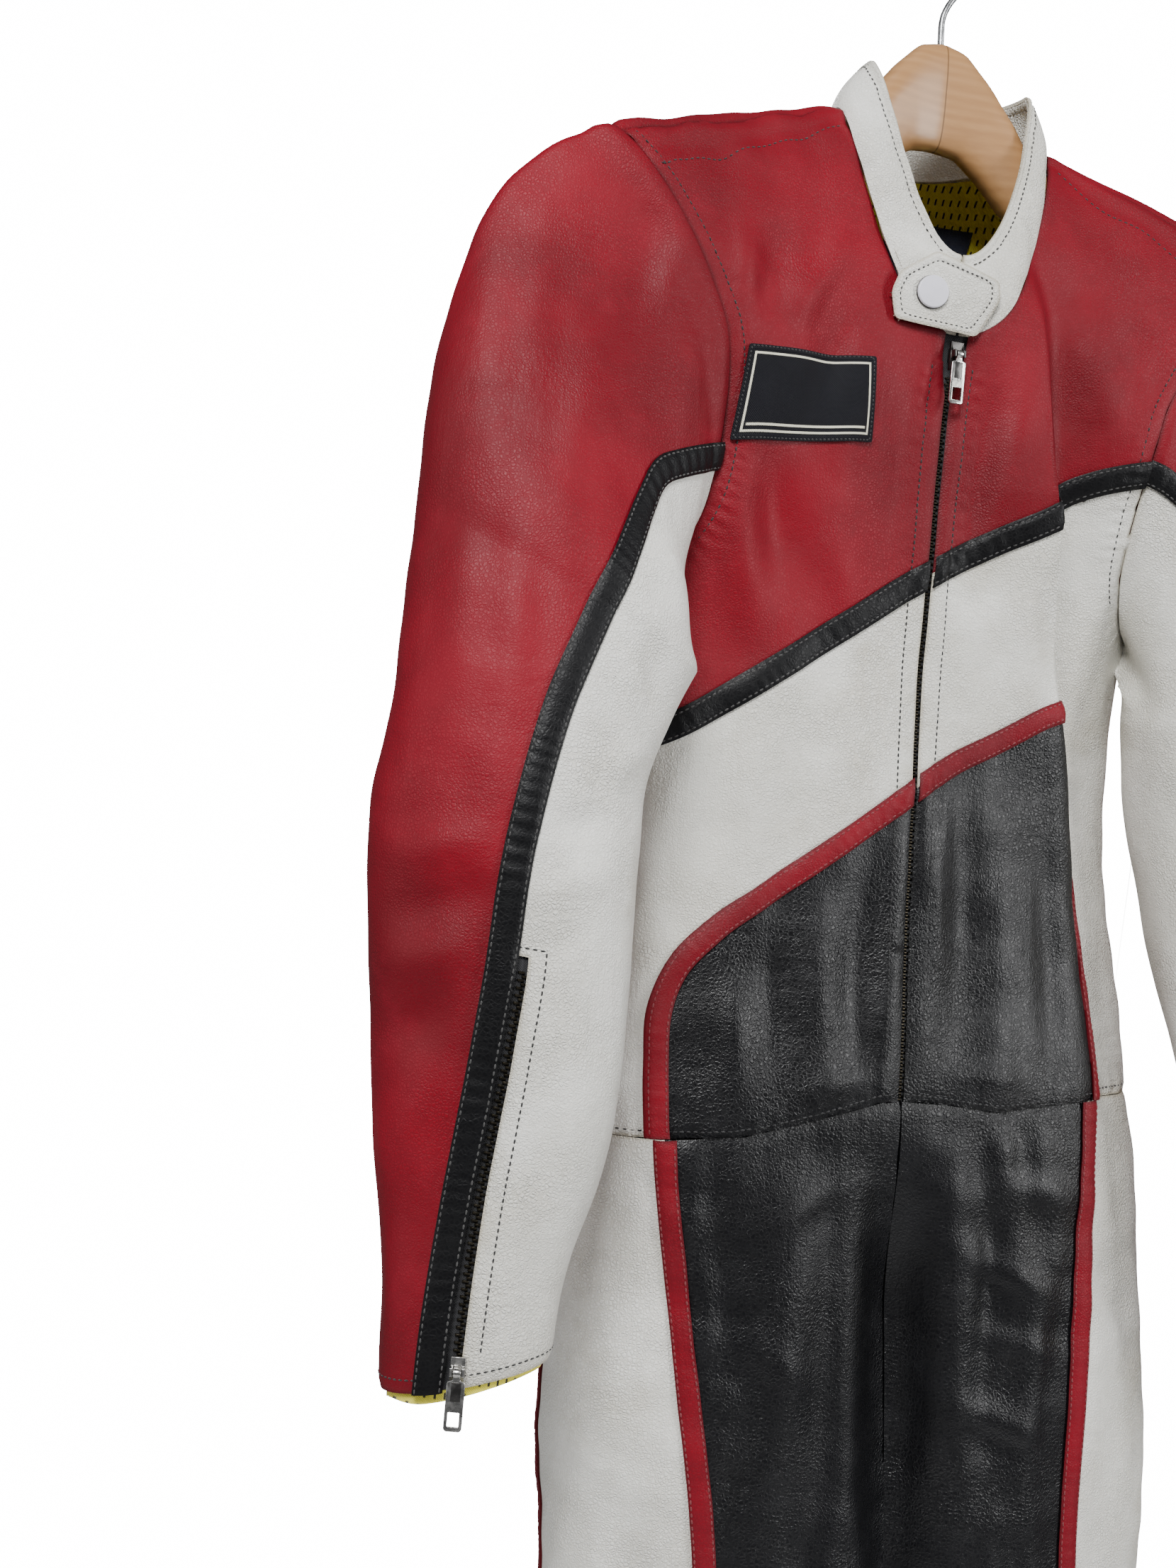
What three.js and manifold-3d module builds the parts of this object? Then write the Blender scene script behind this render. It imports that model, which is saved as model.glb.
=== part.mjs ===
// A one-piece leather race suit, zipped up and hung on a wooden wishbone hanger.
// Millimetres, +Z up, the suit's front towards -Y. The origin is the seat inside the top of the hook.
// "right" and "left" are the wearer's, so the right sleeve is on the -X side.
import * as THREE from "three";
import { mergeVertices } from "three/addons/utils/BufferGeometryUtils.js";
import Module from "manifold-3d";

const wasm = await Module();
wasm.setup();

// Driving dimensions
const NECK_DROP = 118; // the neck point lies this far under the hook's seat
const LEATHER = 1.4; // thickness of the hide
const SEAM_GAP = 0.3; // clear space between pieces that are sewn together
const OVERLAY_LOW = 0.6; // a strip's underside above the panel that it is sewn to
const OVERLAY_HIGH = 1.8; // its upper side
const LEG_STRIP_LOW = 0.9; // the same for the long strips of the legs
const LINING_GAP = 0.4; // from the hide's inside to the lining
const LINING = 0.9; // thickness of lining and zip tape
const TEETH = 0.9; // depth of a closed row of zip teeth
const TAPE_GAP = TEETH + 2 * 0.3; // from the hide's inside to the zip tape, which leaves room for the teeth
const COLLAR_LEATHER = 2.6; // two layers of hide
const STRIPE_BLACK = 14;
const STRIPE_RED = 12;
const SIDE_SEAM_Y = 10; // the right side seam lies in this plane, a little behind the middle
const ARMPIT_SPLIT = -215; // above this height front and back meet on the shoulder
const CROTCH_Z = -800;
const ZIP_SLOT = 3; // width of the gap that shows the zip
const ZIP_TOP = -131; // height of the main slider's middle
const FAR = 400; // half the length of a cutting prism

// All heights below are measured from the neck point. The whole garment hangs in one group, NECK_DROP lower.

// Rings of the body from the neckline to the crotch: half widths to the wearer's right and left, depth of the front
// and the back, heights at the sides and at the front and back centres, squareness on the wearer's right and left,
// forward sweep of the shoulder, how far back the left side lies, and the centre line's place.
const BODY_COLUMNS = [
  "right", "left", "front", "back", "zSide", "zFront", "zBack", "squareRight", "squareLeft", "sweep", "leftBack",
  "centre",
];
const BODY = [
  [64, 64, -46, 52, 0, -118, -8, 1.0, 1.0, 36, 0, 0],
  [84, 84, -44, 55, -6, -126, -20, 1.0, 1.0, 36, 0, 0],
  [125, 125, -42, 58, -20, -142, -46, 1.0, 1.0, 36, 0, 0],
  [168, 168, -40, 60, -35, -160, -80, 0.95, 1.0, 36, 0, 0],
  [200, 200, -39, 60, -48, -180, -115, 0.9, 1.0, 36, 0, 0],
  [204, 204, -38, 60, -82, -200, -150, 0.88, 1.0, 34, 4, 0],
  [188, 190, -38, 62, -165, -225, -200, 0.85, 1.05, 24, 16, 0],
  [164, 166, -39, 64, -258, -258, -258, 0.82, 1.1, 12, 30, 0],
  [154, 162, -41, 64, -340, -340, -340, 0.8, 1.1, 5, 32, 0],
  [153, 166, -46, 62, -430, -430, -430, 0.78, 0.95, 0, 18, 0],
  [160, 172, -57, 60, -525, -525, -525, 0.76, 0.8, 0, 4, 0],
  [172, 177, -64, 68, -650, -650, -650, 0.76, 0.76, 0, 0, 12],
  [171, 176, -70, 76, -800, -800, -800, 0.78, 0.78, 0, 0, 22],
];

// The sharp upright fold beside the zip on the wearer's left: its height, place, how far it stands forward, and how
// far the leather drops back behind it.
const FOLD = [
  { z: -60, x: 34, forward: 0, drop: 0 },
  { z: -100, x: 45, forward: 8, drop: 6 },
  { z: -198, x: 62, forward: 18, drop: 26 },
  { z: -312, x: 87, forward: 17, drop: 22 },
  { z: -402, x: 104, forward: 11, drop: 10 },
  { z: -515, x: 119, forward: 6, drop: 3 },
  { z: -620, x: 118, forward: 4, drop: 2 },
  { z: -800, x: 112, forward: 0, drop: 0 },
];

const VALLEY = { depth: 26, half: 20, top: -525, full: -640 };

// Rings of a leg below the crotch: the leg's middle from the centre line, its half width, front and back depth, and
// the share of the plain oval in its shape, from the hips' D shape at 0 to a round leg at 1.
const LEG_COLUMNS = ["z", "middle", "half", "front", "back", "shift", "oval"];
const LEG = [
  [-800, 88, 88, 70, 76, 0, 0],
  [-880, 90, 88, 68, 72, -2, 0.5],
  [-980, 92, 85, 66, 68, -6, 1],
  [-1160, 96, 75, 58, 60, -14, 1],
  [-1350, 100, 68, 52, 58, -6, 1],
  [-1530, 104, 54, 42, 46, 2, 1],
];

// Rings of the sleeves below the armpit: height, middle in X and Y, half width, half depth, how far the flat of the
// sleeve turns to the front, in degrees, and how much lower its outer edge hangs.
const SLEEVE_COLUMNS = ["z", "x", "y", "half", "depth", "turn", "tilt"];
const SLEEVE_RIGHT = [
  [-280, -209, -52, 71, 50, 16, -34],
  [-310, -216, -58, 66, 50, 16, -26],
  [-355, -224, -64, 61, 48, 16, -15],
  [-400, -228, -68, 64, 46, 16, -6],
  [-460, -226, -72, 62, 43, 16, 0],
  [-540, -224, -76, 55, 38, 16, 2],
  [-600, -228, -80, 43, 32, 16, 5],
  [-646, -230, -84, 39, 27, 16, 9],
];
const SLEEVE_LEFT = [
  [-280, 215, -12, 68, 48, -16, -34],
  [-310, 217, -13, 68, 48, -16, -26],
  [-355, 219, -15, 66, 47, -16, -15],
  [-400, 220, -28, 64, 45, -16, -6],
  [-460, 221, -48, 62, 43, -16, 0],
  [-540, 228, -72, 56, 38, -16, 2],
  [-600, 235, -88, 47, 32, -16, 5],
  [-646, 240, -98, 41, 27, -16, 9],
];

// The armhole seams, seen from the front: from the shoulder tip down to the armpit.
const ARMHOLE_FRONT = [
  { x: 197, z: -47 }, { x: 186, z: -55 }, { x: 169, z: -73 }, { x: 152, z: -97 }, { x: 140, z: -119 },
  { x: 131, z: -140 }, { x: 128, z: -160 }, { x: 127, z: -182 }, { x: 128, z: -206 }, { x: 133, z: -230 },
  { x: 144, z: -250 }, { x: 160, z: -261 },
];
const ARMHOLE_BACK = [
  { x: 188, z: -64 }, { x: 177, z: -92 }, { x: 168, z: -124 }, { x: 162, z: -160 }, { x: 159, z: -196 },
  { x: 158, z: -228 }, { x: 160, z: -252 },
];

// Seam lines of the front, seen from the front, under the strips that cover them.
const BLACK_LINE = [
  { x: -190, z: -368 }, { x: -152, z: -348 }, { x: -126, z: -334 }, { x: -86, z: -306 }, { x: -44, z: -276 },
  { x: -10, z: -252 }, { x: 34, z: -225 }, { x: 64, z: -208 }, { x: 88, z: -188 }, { x: 122, z: -176 },
  { x: 150, z: -172 },
];
const RED_LINE = [
  { x: -125, z: -560 }, { x: -128, z: -542 }, { x: -130, z: -511 }, { x: -130, z: -484 }, { x: -122, z: -460 },
  { x: -105, z: -440 }, { x: -77, z: -418 }, { x: -24, z: -378 }, { x: 19, z: -346 }, { x: 50, z: -329 },
  { x: 78, z: -313 }, { x: 96, z: -309 }, { x: 107, z: -322 }, { x: 112, z: -347 }, { x: 117, z: -389 },
  { x: 122, z: -453 }, { x: 126, z: -516 }, { x: 125, z: -540 },
];
const WAIST_LINE = [
  { x: -260, z: -550 }, { x: -160, z: -547 }, { x: -126, z: -546 }, { x: -85, z: -542 }, { x: -31, z: -528 },
  { x: -7, z: -521 }, { x: 21, z: -522 }, { x: 60, z: -525 }, { x: 118, z: -518 }, { x: 260, z: -517 },
];
const LEG_LINE_RIGHT = [
  { x: -126, z: -500 }, { x: -124, z: -552 }, { x: -107, z: -655 }, { x: -90, z: -753 }, { x: -84, z: -850 },
  { x: -90, z: -950 }, { x: -104, z: -1160 }, { x: -108, z: -1350 }, { x: -104, z: -1560 },
];
const LEG_LINE_LEFT = [
  { x: 119, z: -480 }, { x: 117, z: -577 }, { x: 118, z: -681 }, { x: 119, z: -748 }, { x: 124, z: -850 },
  { x: 132, z: -950 }, { x: 148, z: -1160 }, { x: 155, z: -1350 }, { x: 150, z: -1560 },
];
const BACK_SEAM_Z = -332; // the straight seam across the back
// The left side seam, seen from the side. It runs further back where the left side does.
const SIDE_SEAM_LEFT = [
  { y: 10, z: -190 }, { y: 10, z: -215 }, { y: 40, z: -258 }, { y: 40, z: -340 }, { y: 28, z: -430 },
  { y: 12, z: -525 }, { y: 10, z: -700 },
];
const REAR_STRIPE_Y = 24; // the strips behind the legs' side panels lie in this plane

// The strips along the front of the sleeves.
const SLEEVE_LINE_RIGHT = [
  { x: -112, z: -196 }, { x: -155, z: -213 }, { x: -169, z: -221 }, { x: -178, z: -238 }, { x: -191, z: -267 },
  { x: -207, z: -302 }, { x: -221, z: -339 }, { x: -234, z: -401 }, { x: -238, z: -458 }, { x: -243, z: -518 },
  { x: -247, z: -560 }, { x: -250, z: -606 }, { x: -252, z: -680 },
];
const SLEEVE_LINE_LEFT = [
  { x: 112, z: -170 }, { x: 134, z: -176 }, { x: 152, z: -188 }, { x: 170, z: -214 }, { x: 186, z: -252 },
  { x: 200, z: -300 }, { x: 213, z: -350 }, { x: 226, z: -410 }, { x: 234, z: -460 }, { x: 246, z: -540 },
  { x: 256, z: -600 }, { x: 262, z: -680 },
];
const CUFF_ZIP = { top: -452, slot: 2.8, shift: 10.8, slider: -633 };

// Interpolation
function rowAt(table, place) {
  // Catmull-Rom through the rows of a table.
  const last = table.length - 1;
  const at = Math.min(Math.max(place, 0), last);
  const i = Math.min(Math.floor(at), last - 1);
  const f = at - i;
  const rows = [Math.max(i - 1, 0), i, i + 1, Math.min(i + 2, last)].map((k) => table[k]);
  return rows[0].map((_, k) => {
    const [a, b, c, d] = rows.map((row) => row[k]);
    return 0.5 * (2 * b + (c - a) * f + (2 * a - 5 * b + 4 * c - d) * f * f + (3 * b - a - 3 * c + d) * f ** 3);
  });
}

function named(columns, row) {
  return Object.fromEntries(columns.map((name, k) => [name, row[k]]));
}

function alongZ(list, z, key) {
  // Straight interpolation by height in a list that runs downwards.
  if (z >= list[0].z) return list[0][key];
  for (let i = 1; i < list.length; i++) {
    const above = list[i - 1];
    const below = list[i];
    if (z >= below.z) return THREE.MathUtils.lerp(above[key], below[key], (z - above.z) / (below.z - above.z));
  }
  return list.at(-1)[key];
}

function shareWhere(from, to, isPast) {
  // The first share at which a test turns true.
  let [low, high] = [from, to];
  for (let k = 0; k < 30; k++) {
    const mid = (low + high) / 2;
    if (isPast(mid)) high = mid;
    else low = mid;
  }
  return (low + high) / 2;
}

const softPower = (value, power) => Math.sign(value) * Math.abs(value) ** power;

// The body's surface
function bodyPoint(turn, place) {
  // turn: 0 at the front centre, 0.25 on the wearer's left, 0.5 at the back, 0.75 on the wearer's right.
  const ring = named(BODY_COLUMNS, rowAt(BODY, place));
  const side = Math.sin(turn * 2 * Math.PI);
  const face = Math.cos(turn * 2 * Math.PI);
  const isLeft = side > 0;
  const isFront = face > 0;
  const square = isLeft && isFront ? ring.squareLeft : ring.squareRight;
  const middle = isFront ? 1 - Math.abs(side) ** 2.5 : face * face;
  const z = ring.zSide * (1 - middle) + (isFront ? ring.zFront : ring.zBack) * middle;
  const x = (isLeft ? ring.left : ring.right) * softPower(side, square);
  let y = (isFront ? ring.front : ring.back) * Math.abs(face) ** square;
  y -= (ring.sweep * (Math.hypot(x, 40) - 40)) / 164;
  if (isLeft) y += ring.leftBack * side * side;
  if (isFront) y += (foldDepth(x, z) + valleyDepth(x, z)) * Math.min(face * 3, 1);
  return new THREE.Vector3(x + ring.centre, y, z);
}

function foldDepth(x, z) {
  const away = x - alongZ(FOLD, z, "x");
  const forward = alongZ(FOLD, z, "forward");
  const drop = alongZ(FOLD, z, "drop");
  if (away < 0) return -forward * Math.exp(-((away / 38) ** 2));
  const edge = Math.exp(-((away / 10) ** 2));
  return -forward * edge + drop * (1 - edge) * Math.exp(-((away / 45) ** 2));
}

function valleyDepth(x, z) {
  // The two legs hang as two tubes, so a valley runs down the middle from the waist.
  const { depth, half, top, full } = VALLEY;
  return depth * Math.exp(-((x / half) ** 2)) * THREE.MathUtils.smoothstep(-z, -top, -full);
}

function bodyPlaceAt(z) {
  // The place in the BODY table whose side height is z.
  let low = 0;
  let high = BODY.length - 1;
  for (let k = 0; k < 40; k++) {
    const mid = (low + high) / 2;
    if (rowAt(BODY, mid)[4] > z) low = mid;
    else high = mid;
  }
  return (low + high) / 2;
}

function onBody(x, z, isFront) {
  // The point of the body's front or back that is seen at x, z from the front.
  const reach = isFront ? [-0.25, 0.25] : [0.25, 0.75];
  let turn = 0;
  let place = 0;
  let best = Infinity;
  for (let i = 0; i <= 60; i++) {
    for (let j = 0; j <= 96; j++) {
      const t = THREE.MathUtils.lerp(...reach, i / 60);
      const p = bodyPoint(t, j / 8);
      const d = Math.hypot(p.x - x, p.z - z);
      if (d < best) [best, turn, place] = [d, t, j / 8];
    }
  }
  for (let k = 0; k < 8; k++) {
    const p = bodyPoint(turn, place);
    const a = bodyPoint(turn + 1e-4, place).sub(p).divideScalar(1e-4);
    const b = bodyPoint(turn, place + 1e-3).sub(p).divideScalar(1e-3);
    const det = a.x * b.z - a.z * b.x;
    if (Math.abs(det) < 1e-6) break;
    turn += THREE.MathUtils.clamp(((x - p.x) * b.z - (z - p.z) * b.x) / det, -0.01, 0.01);
    place += THREE.MathUtils.clamp((a.x * (z - p.z) - a.z * (x - p.x)) / det, -0.3, 0.3);
  }
  return bodyPoint(turn, place);
}

// Solids from grids of points
function normalsOf(grid, isClosed) {
  // A unit normal for each point of grid[row][column], out of the side from which columns run to the right
  // and rows down.
  const rows = grid.length;
  const columns = grid[0].length;
  return grid.map((row, j) =>
    row.map((_, i) => {
      const left = isClosed ? row[(i + columns - 1) % columns] : row[Math.max(i - 1, 0)];
      const right = isClosed ? row[(i + 1) % columns] : row[Math.min(i + 1, columns - 1)];
      const above = grid[Math.max(j - 1, 0)][i];
      const below = grid[Math.min(j + 1, rows - 1)][i];
      const across = new THREE.Vector3().subVectors(right, left);
      return new THREE.Vector3().subVectors(below, above).cross(across).normalize();
    }),
  );
}

function manifoldOf(vertProperties, triVerts) {
  return new wasm.Manifold(
    new wasm.Mesh({
      numProp: 3,
      vertProperties: new Float32Array(vertProperties),
      triVerts: new Uint32Array(triVerts),
    }),
  );
}

function wall(grid, low, high, isClosed = true) {
  return wallOf(grid, normalsOf(grid, isClosed), low, high, isClosed);
}

function wallOf(grid, normals, low, high, isClosed) {
  // The solid between the grid moved out by low and by high along its normals.
  const rows = grid.length;
  const columns = grid[0].length;
  const points = [];
  for (const lift of [high, low])
    grid.forEach((row, j) => {
      row.forEach((p, i) => points.push(...p.clone().addScaledVector(normals[j][i], lift).toArray()));
    });
  const at = (layer, j, i) => layer * rows * columns + j * columns + (i % columns);
  const faces = [];
  const quad = (a, b, c, d) => faces.push(a, b, c, a, c, d);
  const spans = isClosed ? columns : columns - 1;
  for (let j = 0; j < rows - 1; j++)
    for (let i = 0; i < spans; i++) {
      quad(at(0, j, i), at(0, j + 1, i), at(0, j + 1, i + 1), at(0, j, i + 1));
      quad(at(1, j, i), at(1, j, i + 1), at(1, j + 1, i + 1), at(1, j + 1, i));
    }
  for (let i = 0; i < spans; i++) {
    quad(at(0, 0, i), at(0, 0, i + 1), at(1, 0, i + 1), at(1, 0, i));
    quad(at(0, rows - 1, i), at(1, rows - 1, i), at(1, rows - 1, i + 1), at(0, rows - 1, i + 1));
  }
  if (!isClosed)
    for (let j = 0; j < rows - 1; j++) {
      quad(at(0, j, 0), at(1, j, 0), at(1, j + 1, 0), at(0, j + 1, 0));
      quad(at(0, j, columns - 1), at(0, j + 1, columns - 1), at(1, j + 1, columns - 1), at(1, j, columns - 1));
    }
  return manifoldOf(points, faces);
}

function solidFrom(geometry) {
  const bare = geometry.clone();
  bare.deleteAttribute("normal");
  bare.deleteAttribute("uv");
  const merged = mergeVertices(bare, 1e-4);
  return manifoldOf(merged.attributes.position.array, merged.index.array);
}

// Cutting prisms. An outline is a list of [across, up] corners.
function prism(outline, from, to) {
  const shape = new THREE.Shape(outline.map(([a, b]) => new THREE.Vector2(a, b)));
  return new THREE.ExtrudeGeometry(shape, { depth: to - from, bevelEnabled: false }).translate(0, 0, from);
}

// Seen from the front, running along Y from one depth to another.
const frontPrism = (outline, from = -FAR, to = FAR) =>
  solidFrom(prism(outline, -to, -from).rotateX(Math.PI / 2));
// Seen from the wearer's left, outline in Y and Z, running along X.
const sidePrism = (outline, from = -FAR, to = FAR) =>
  solidFrom(prism(outline, from, to).rotateX(Math.PI / 2).rotateZ(Math.PI / 2));
// Seen from above, outline in X and Y, running along Z.
const topPrism = (outline, from, to) => solidFrom(prism(outline, from, to));

function block(low, high) {
  const size = new THREE.Vector3().subVectors(high, low);
  const middle = new THREE.Vector3().addVectors(high, low).multiplyScalar(0.5);
  return solidFrom(new THREE.BoxGeometry(size.x, size.y, size.z).translate(middle.x, middle.y, middle.z));
}

const box = (x0, x1, y0, y1, z0, z1) => block(new THREE.Vector3(x0, y0, z0), new THREE.Vector3(x1, y1, z1));

function ribbon(line, width, shift = 0) {
  // The outline of a band of this width along a line of { x, z } points, moved sideways by shift.
  const points = line.map((p) => new THREE.Vector2(p.x, p.z));
  const edge = (offset) =>
    points.map((p, i) => {
      const before = points[Math.max(i - 1, 0)];
      const after = points[Math.min(i + 1, points.length - 1)];
      const way = new THREE.Vector2().subVectors(after, before).normalize();
      return [p.x - way.y * offset, p.y + way.x * offset];
    });
  return [...edge(shift - width / 2), ...edge(shift + width / 2).reverse()];
}

function smoothLine(line, steps) {
  // The same line with this many spans, rounded through its points.
  const points = line.map((p) => new THREE.Vector3(p.x, 0, p.z));
  const curve = new THREE.CatmullRomCurve3(points, false, "centripetal");
  return curve.getPoints(steps).map((p) => ({ x: p.x, z: p.z }));
}

function pieceAt(pieces, probe) {
  // The one of several solids that lies nearest to a point, by the overlap with a small block round it.
  const [x, y, z] = probe;
  const reach = 7;
  const near = box(x - reach, x + reach, y - reach, y + reach, z - reach, z + reach);
  const shares = pieces.map((piece) => piece.intersect(near).volume());
  const best = shares.indexOf(Math.max(...shares));
  if (shares[best] <= 0) throw new Error(`no piece of cloth lies at ${probe}`);
  return pieces[best];
}

const largest = (solid) => solid.decompose().sort((a, b) => b.volume() - a.volume())[0];

// The group that the meshes go into
const suit = new THREE.Group();
const garment = new THREE.Group();
garment.position.z = -NECK_DROP;
suit.add(garment);

const finish = (color, roughness, metalness = 0) => new THREE.MeshStandardMaterial({ color, roughness, metalness });
const RED = finish(0xa5101c, 0.42);
const WHITE = finish(0xd9d8cf, 0.45);
const BLACK = finish(0x17171a, 0.4);
const YELLOW = finish(0xb5ad1d, 0.8);
const TAPE = finish(0x1d1d1f, 0.8);
const NICKEL = finish(0xb9b9b6, 0.25, 1);
const GUNMETAL = finish(0x4a4a48, 0.35, 1);
const CAP = finish(0xe6e4ee, 0.35);
const LABEL = finish(0x10131f, 0.6);
const WOOD = finish(0xb48348, 0.45);
const STEEL = finish(0xa8abad, 0.25, 1);

function add(name, solid, material, parent = garment) {
  const made = solid.getMesh();
  const geometry = new THREE.BufferGeometry();
  const points = new Float32Array(made.numVert * 3);
  for (let i = 0; i < made.numVert; i++)
    points.set(made.vertProperties.subarray(i * made.numProp, i * made.numProp + 3), i * 3);
  geometry.setAttribute("position", new THREE.BufferAttribute(points, 3));
  geometry.setIndex(new THREE.BufferAttribute(new Uint32Array(made.triVerts), 1));
  const mesh = new THREE.Mesh(geometry, material);
  mesh.name = name;
  parent.add(mesh);
  return mesh;
}

// The body: one wall, which the seams cut into panels
const BODY_TURNS = bodyTurns();
const FOLD_TURN = 0.076; // the column that follows the upright fold
const BODY_PLACES = [0, 0.5, 1, 1.6, 2.3, 3, 3.6, 4.3, 5, 5.6, 6.2, 6.8, 7.4, 8, 8.6, 9.3, 10, 10.28];

function bodyTurns() {
  // Columns round the body, closer together where the upright fold lies and at the sides.
  const front = [-0.2, -0.16, -0.12, -0.08, -0.04, 0, 0.028, 0.05, 0.064, 0.076, 0.086, 0.1, 0.12, 0.145, 0.175, 0.21];
  const back = [0.25, 0.285, 0.32, 0.37, 0.43, 0.5, 0.57, 0.63, 0.68, 0.715, 0.75];
  return [...front.filter((t) => t >= 0), ...back, ...front.filter((t) => t < 0).map((t) => t + 1)];
}

function turnBesideFold(turn, place) {
  // Columns bend with the fold, so that one of them runs along its edge.
  if (turn > 0.25) return turn;
  const edge = shareWhere(0.01, 0.2, (t) => {
    const p = bodyPoint(t, place);
    return p.x > alongZ(FOLD, p.z, "x");
  });
  if (turn < FOLD_TURN) return (turn * edge) / FOLD_TURN;
  return edge + ((turn - FOLD_TURN) * (0.25 - edge)) / (0.25 - FOLD_TURN);
}

const bodyGrid = BODY_PLACES.map((place) => BODY_TURNS.map((turn) => bodyPoint(turnBesideFold(turn, place), place)));

// Everything in front of the shoulder seams and side seams.
const SHOULDER_SEAM = [
  [-260, -58], [-200, -44], [-125, -28], [-64, -14], [64, -14], [125, -28], [200, -44], [260, -58],
];
const shoulderOutline = [[-FAR, -FAR], [FAR, -FAR], [FAR, -58], ...SHOULDER_SEAM.slice().reverse(), [-FAR, -58]];
const leftSeam = SIDE_SEAM_LEFT.filter((p) => p.z <= ARMPIT_SPLIT).map((p) => [p.y, p.z]);
const leftFront = [
  [-FAR, ARMPIT_SPLIT + 0.01], [leftSeam[0][0], ARMPIT_SPLIT + 0.01], ...leftSeam.slice(1), [-FAR, -700],
];
const frontSide = wasm.Manifold.union([
  topPrism(shoulderOutline, ARMPIT_SPLIT, 100),
  box(-FAR, 0.01, -FAR, SIDE_SEAM_Y, -700, ARMPIT_SPLIT + 0.01),
  sidePrism(leftFront, 0, FAR),
]);
const backSide = box(-FAR, FAR, -FAR, FAR, -700, 100).subtract(frontSide);

const belowWaist = (shift) =>
  frontPrism([...WAIST_LINE.map((p) => [p.x, p.z + shift]), [260, -1700], [-260, -1700]]);

function armholeOutline(line, side) {
  // The part of the front view outside an armhole seam, down to the armpit.
  const seam = line.map((p) => [side * p.x, p.z]);
  return [...seam, [side * 260, line.at(-1).z], [side * 260, 40], [side * line[0].x, 40]];
}

function armholeCut(side) {
  const front = frontPrism(armholeOutline(ARMHOLE_FRONT, side)).intersect(frontSide);
  const backLine = [ARMHOLE_FRONT[0], ...ARMHOLE_BACK, ARMHOLE_FRONT.at(-1)];
  const back = frontPrism(armholeOutline(backLine, side)).intersect(backSide);
  return front.add(back);
}

const zipSlot = [
  [-6.5, -100], [6.5, -100], [6, -130], [4.5, -141], [ZIP_SLOT / 2, -152], [ZIP_SLOT / 2, -560],
  [-ZIP_SLOT / 2, -560], [-ZIP_SLOT / 2, -152], [-4.5, -141], [-6, -130],
];

const blackLine = smoothLine(BLACK_LINE, 16);
const redLine = smoothLine(RED_LINE, 32);

function backBand(width, margin) {
  // A band across the back from one side seam to the other.
  const leftY = alongZ(SIDE_SEAM_LEFT, BACK_SEAM_Z, "y");
  const [low, high] = [BACK_SEAM_Z - width / 2, BACK_SEAM_Z + width / 2];
  return box(-FAR, 0.01, SIDE_SEAM_Y + margin, FAR, low, high).add(box(0, FAR, leftY + margin, FAR, low, high));
}

const seamCuts = wasm.Manifold.union([
  frontPrism(zipSlot).intersect(frontSide),
  frontPrism(ribbon(blackLine, SEAM_GAP)).intersect(frontSide),
  frontPrism(ribbon(redLine, SEAM_GAP)).intersect(frontSide),
  topPrism(ribbon(SHOULDER_SEAM.map(([x, z]) => ({ x, z })), SEAM_GAP), -200, 100),
  box(-FAR, -90, SIDE_SEAM_Y - SEAM_GAP / 2, SIDE_SEAM_Y + SEAM_GAP / 2, -700, -190),
  sidePrism(ribbon(SIDE_SEAM_LEFT.map((p) => ({ x: p.y, z: p.z })), SEAM_GAP), 90, FAR),
  backBand(SEAM_GAP, 0),
]);

const bodyCut = wasm.Manifold.union([armholeCut(-1), armholeCut(1), belowWaist(SEAM_GAP / 2)]);
const bodyPieces = wall(bodyGrid, -LEATHER, 0).subtract(bodyCut).subtract(seamCuts).decompose();

const BODY_PANELS = [
  { name: "front_right_red", at: [-70, -180], isFront: true, material: RED },
  { name: "front_left_red", at: [30, -170], isFront: true, material: RED },
  { name: "front_right_white", at: [-60, -350], isFront: true, material: WHITE },
  { name: "front_left_white", at: [40, -270], isFront: true, material: WHITE },
  { name: "front_right_black", at: [-60, -480], isFront: true, material: BLACK },
  { name: "front_left_black", at: [50, -430], isFront: true, material: BLACK },
  { name: "back_red", at: [0, -200], isFront: false, material: RED },
  { name: "back_white", at: [0, -430], isFront: false, material: WHITE },
];
for (const panel of BODY_PANELS) {
  const probe = onBody(...panel.at, panel.isFront).toArray();
  add(panel.name, pieceAt(bodyPieces, probe), panel.material);
}

// Strips sewn over the body's seams, made from the same points moved out
const bodyOverlay = wall(bodyGrid, OVERLAY_LOW, OVERLAY_HIGH).subtract(
  wasm.Manifold.union([bodyCut, frontPrism(zipSlot).intersect(frontSide)]),
);
const halfRight = box(-FAR, 0, -FAR, FAR, -700, 100);
const halfLeft = box(0, FAR, -FAR, FAR, -700, 100);

const blackStrip = bodyOverlay.intersect(frontPrism(ribbon(blackLine, STRIPE_BLACK), -FAR, SIDE_SEAM_Y - 0.2));
const redStrip = bodyOverlay.intersect(frontPrism(ribbon(redLine, STRIPE_RED), -FAR, SIDE_SEAM_Y - 0.2));
add("strip_black_front_right", largest(blackStrip.intersect(halfRight)), BLACK);
add("strip_black_front_left", largest(blackStrip.intersect(halfLeft)), BLACK);
add("strip_red_front_right", largest(redStrip.intersect(halfRight)), RED);
add("strip_red_front_left", largest(redStrip.intersect(halfLeft)), RED);
add("strip_black_back", largest(bodyOverlay.intersect(backBand(STRIPE_BLACK, 0.2))), BLACK);

const PATCH = [[-120, -146], [-46, -139], [-44, -183], [-124, -194]];
add("chest_patch", largest(bodyOverlay.intersect(frontPrism(PATCH, -FAR, 0))), LABEL);

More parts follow.
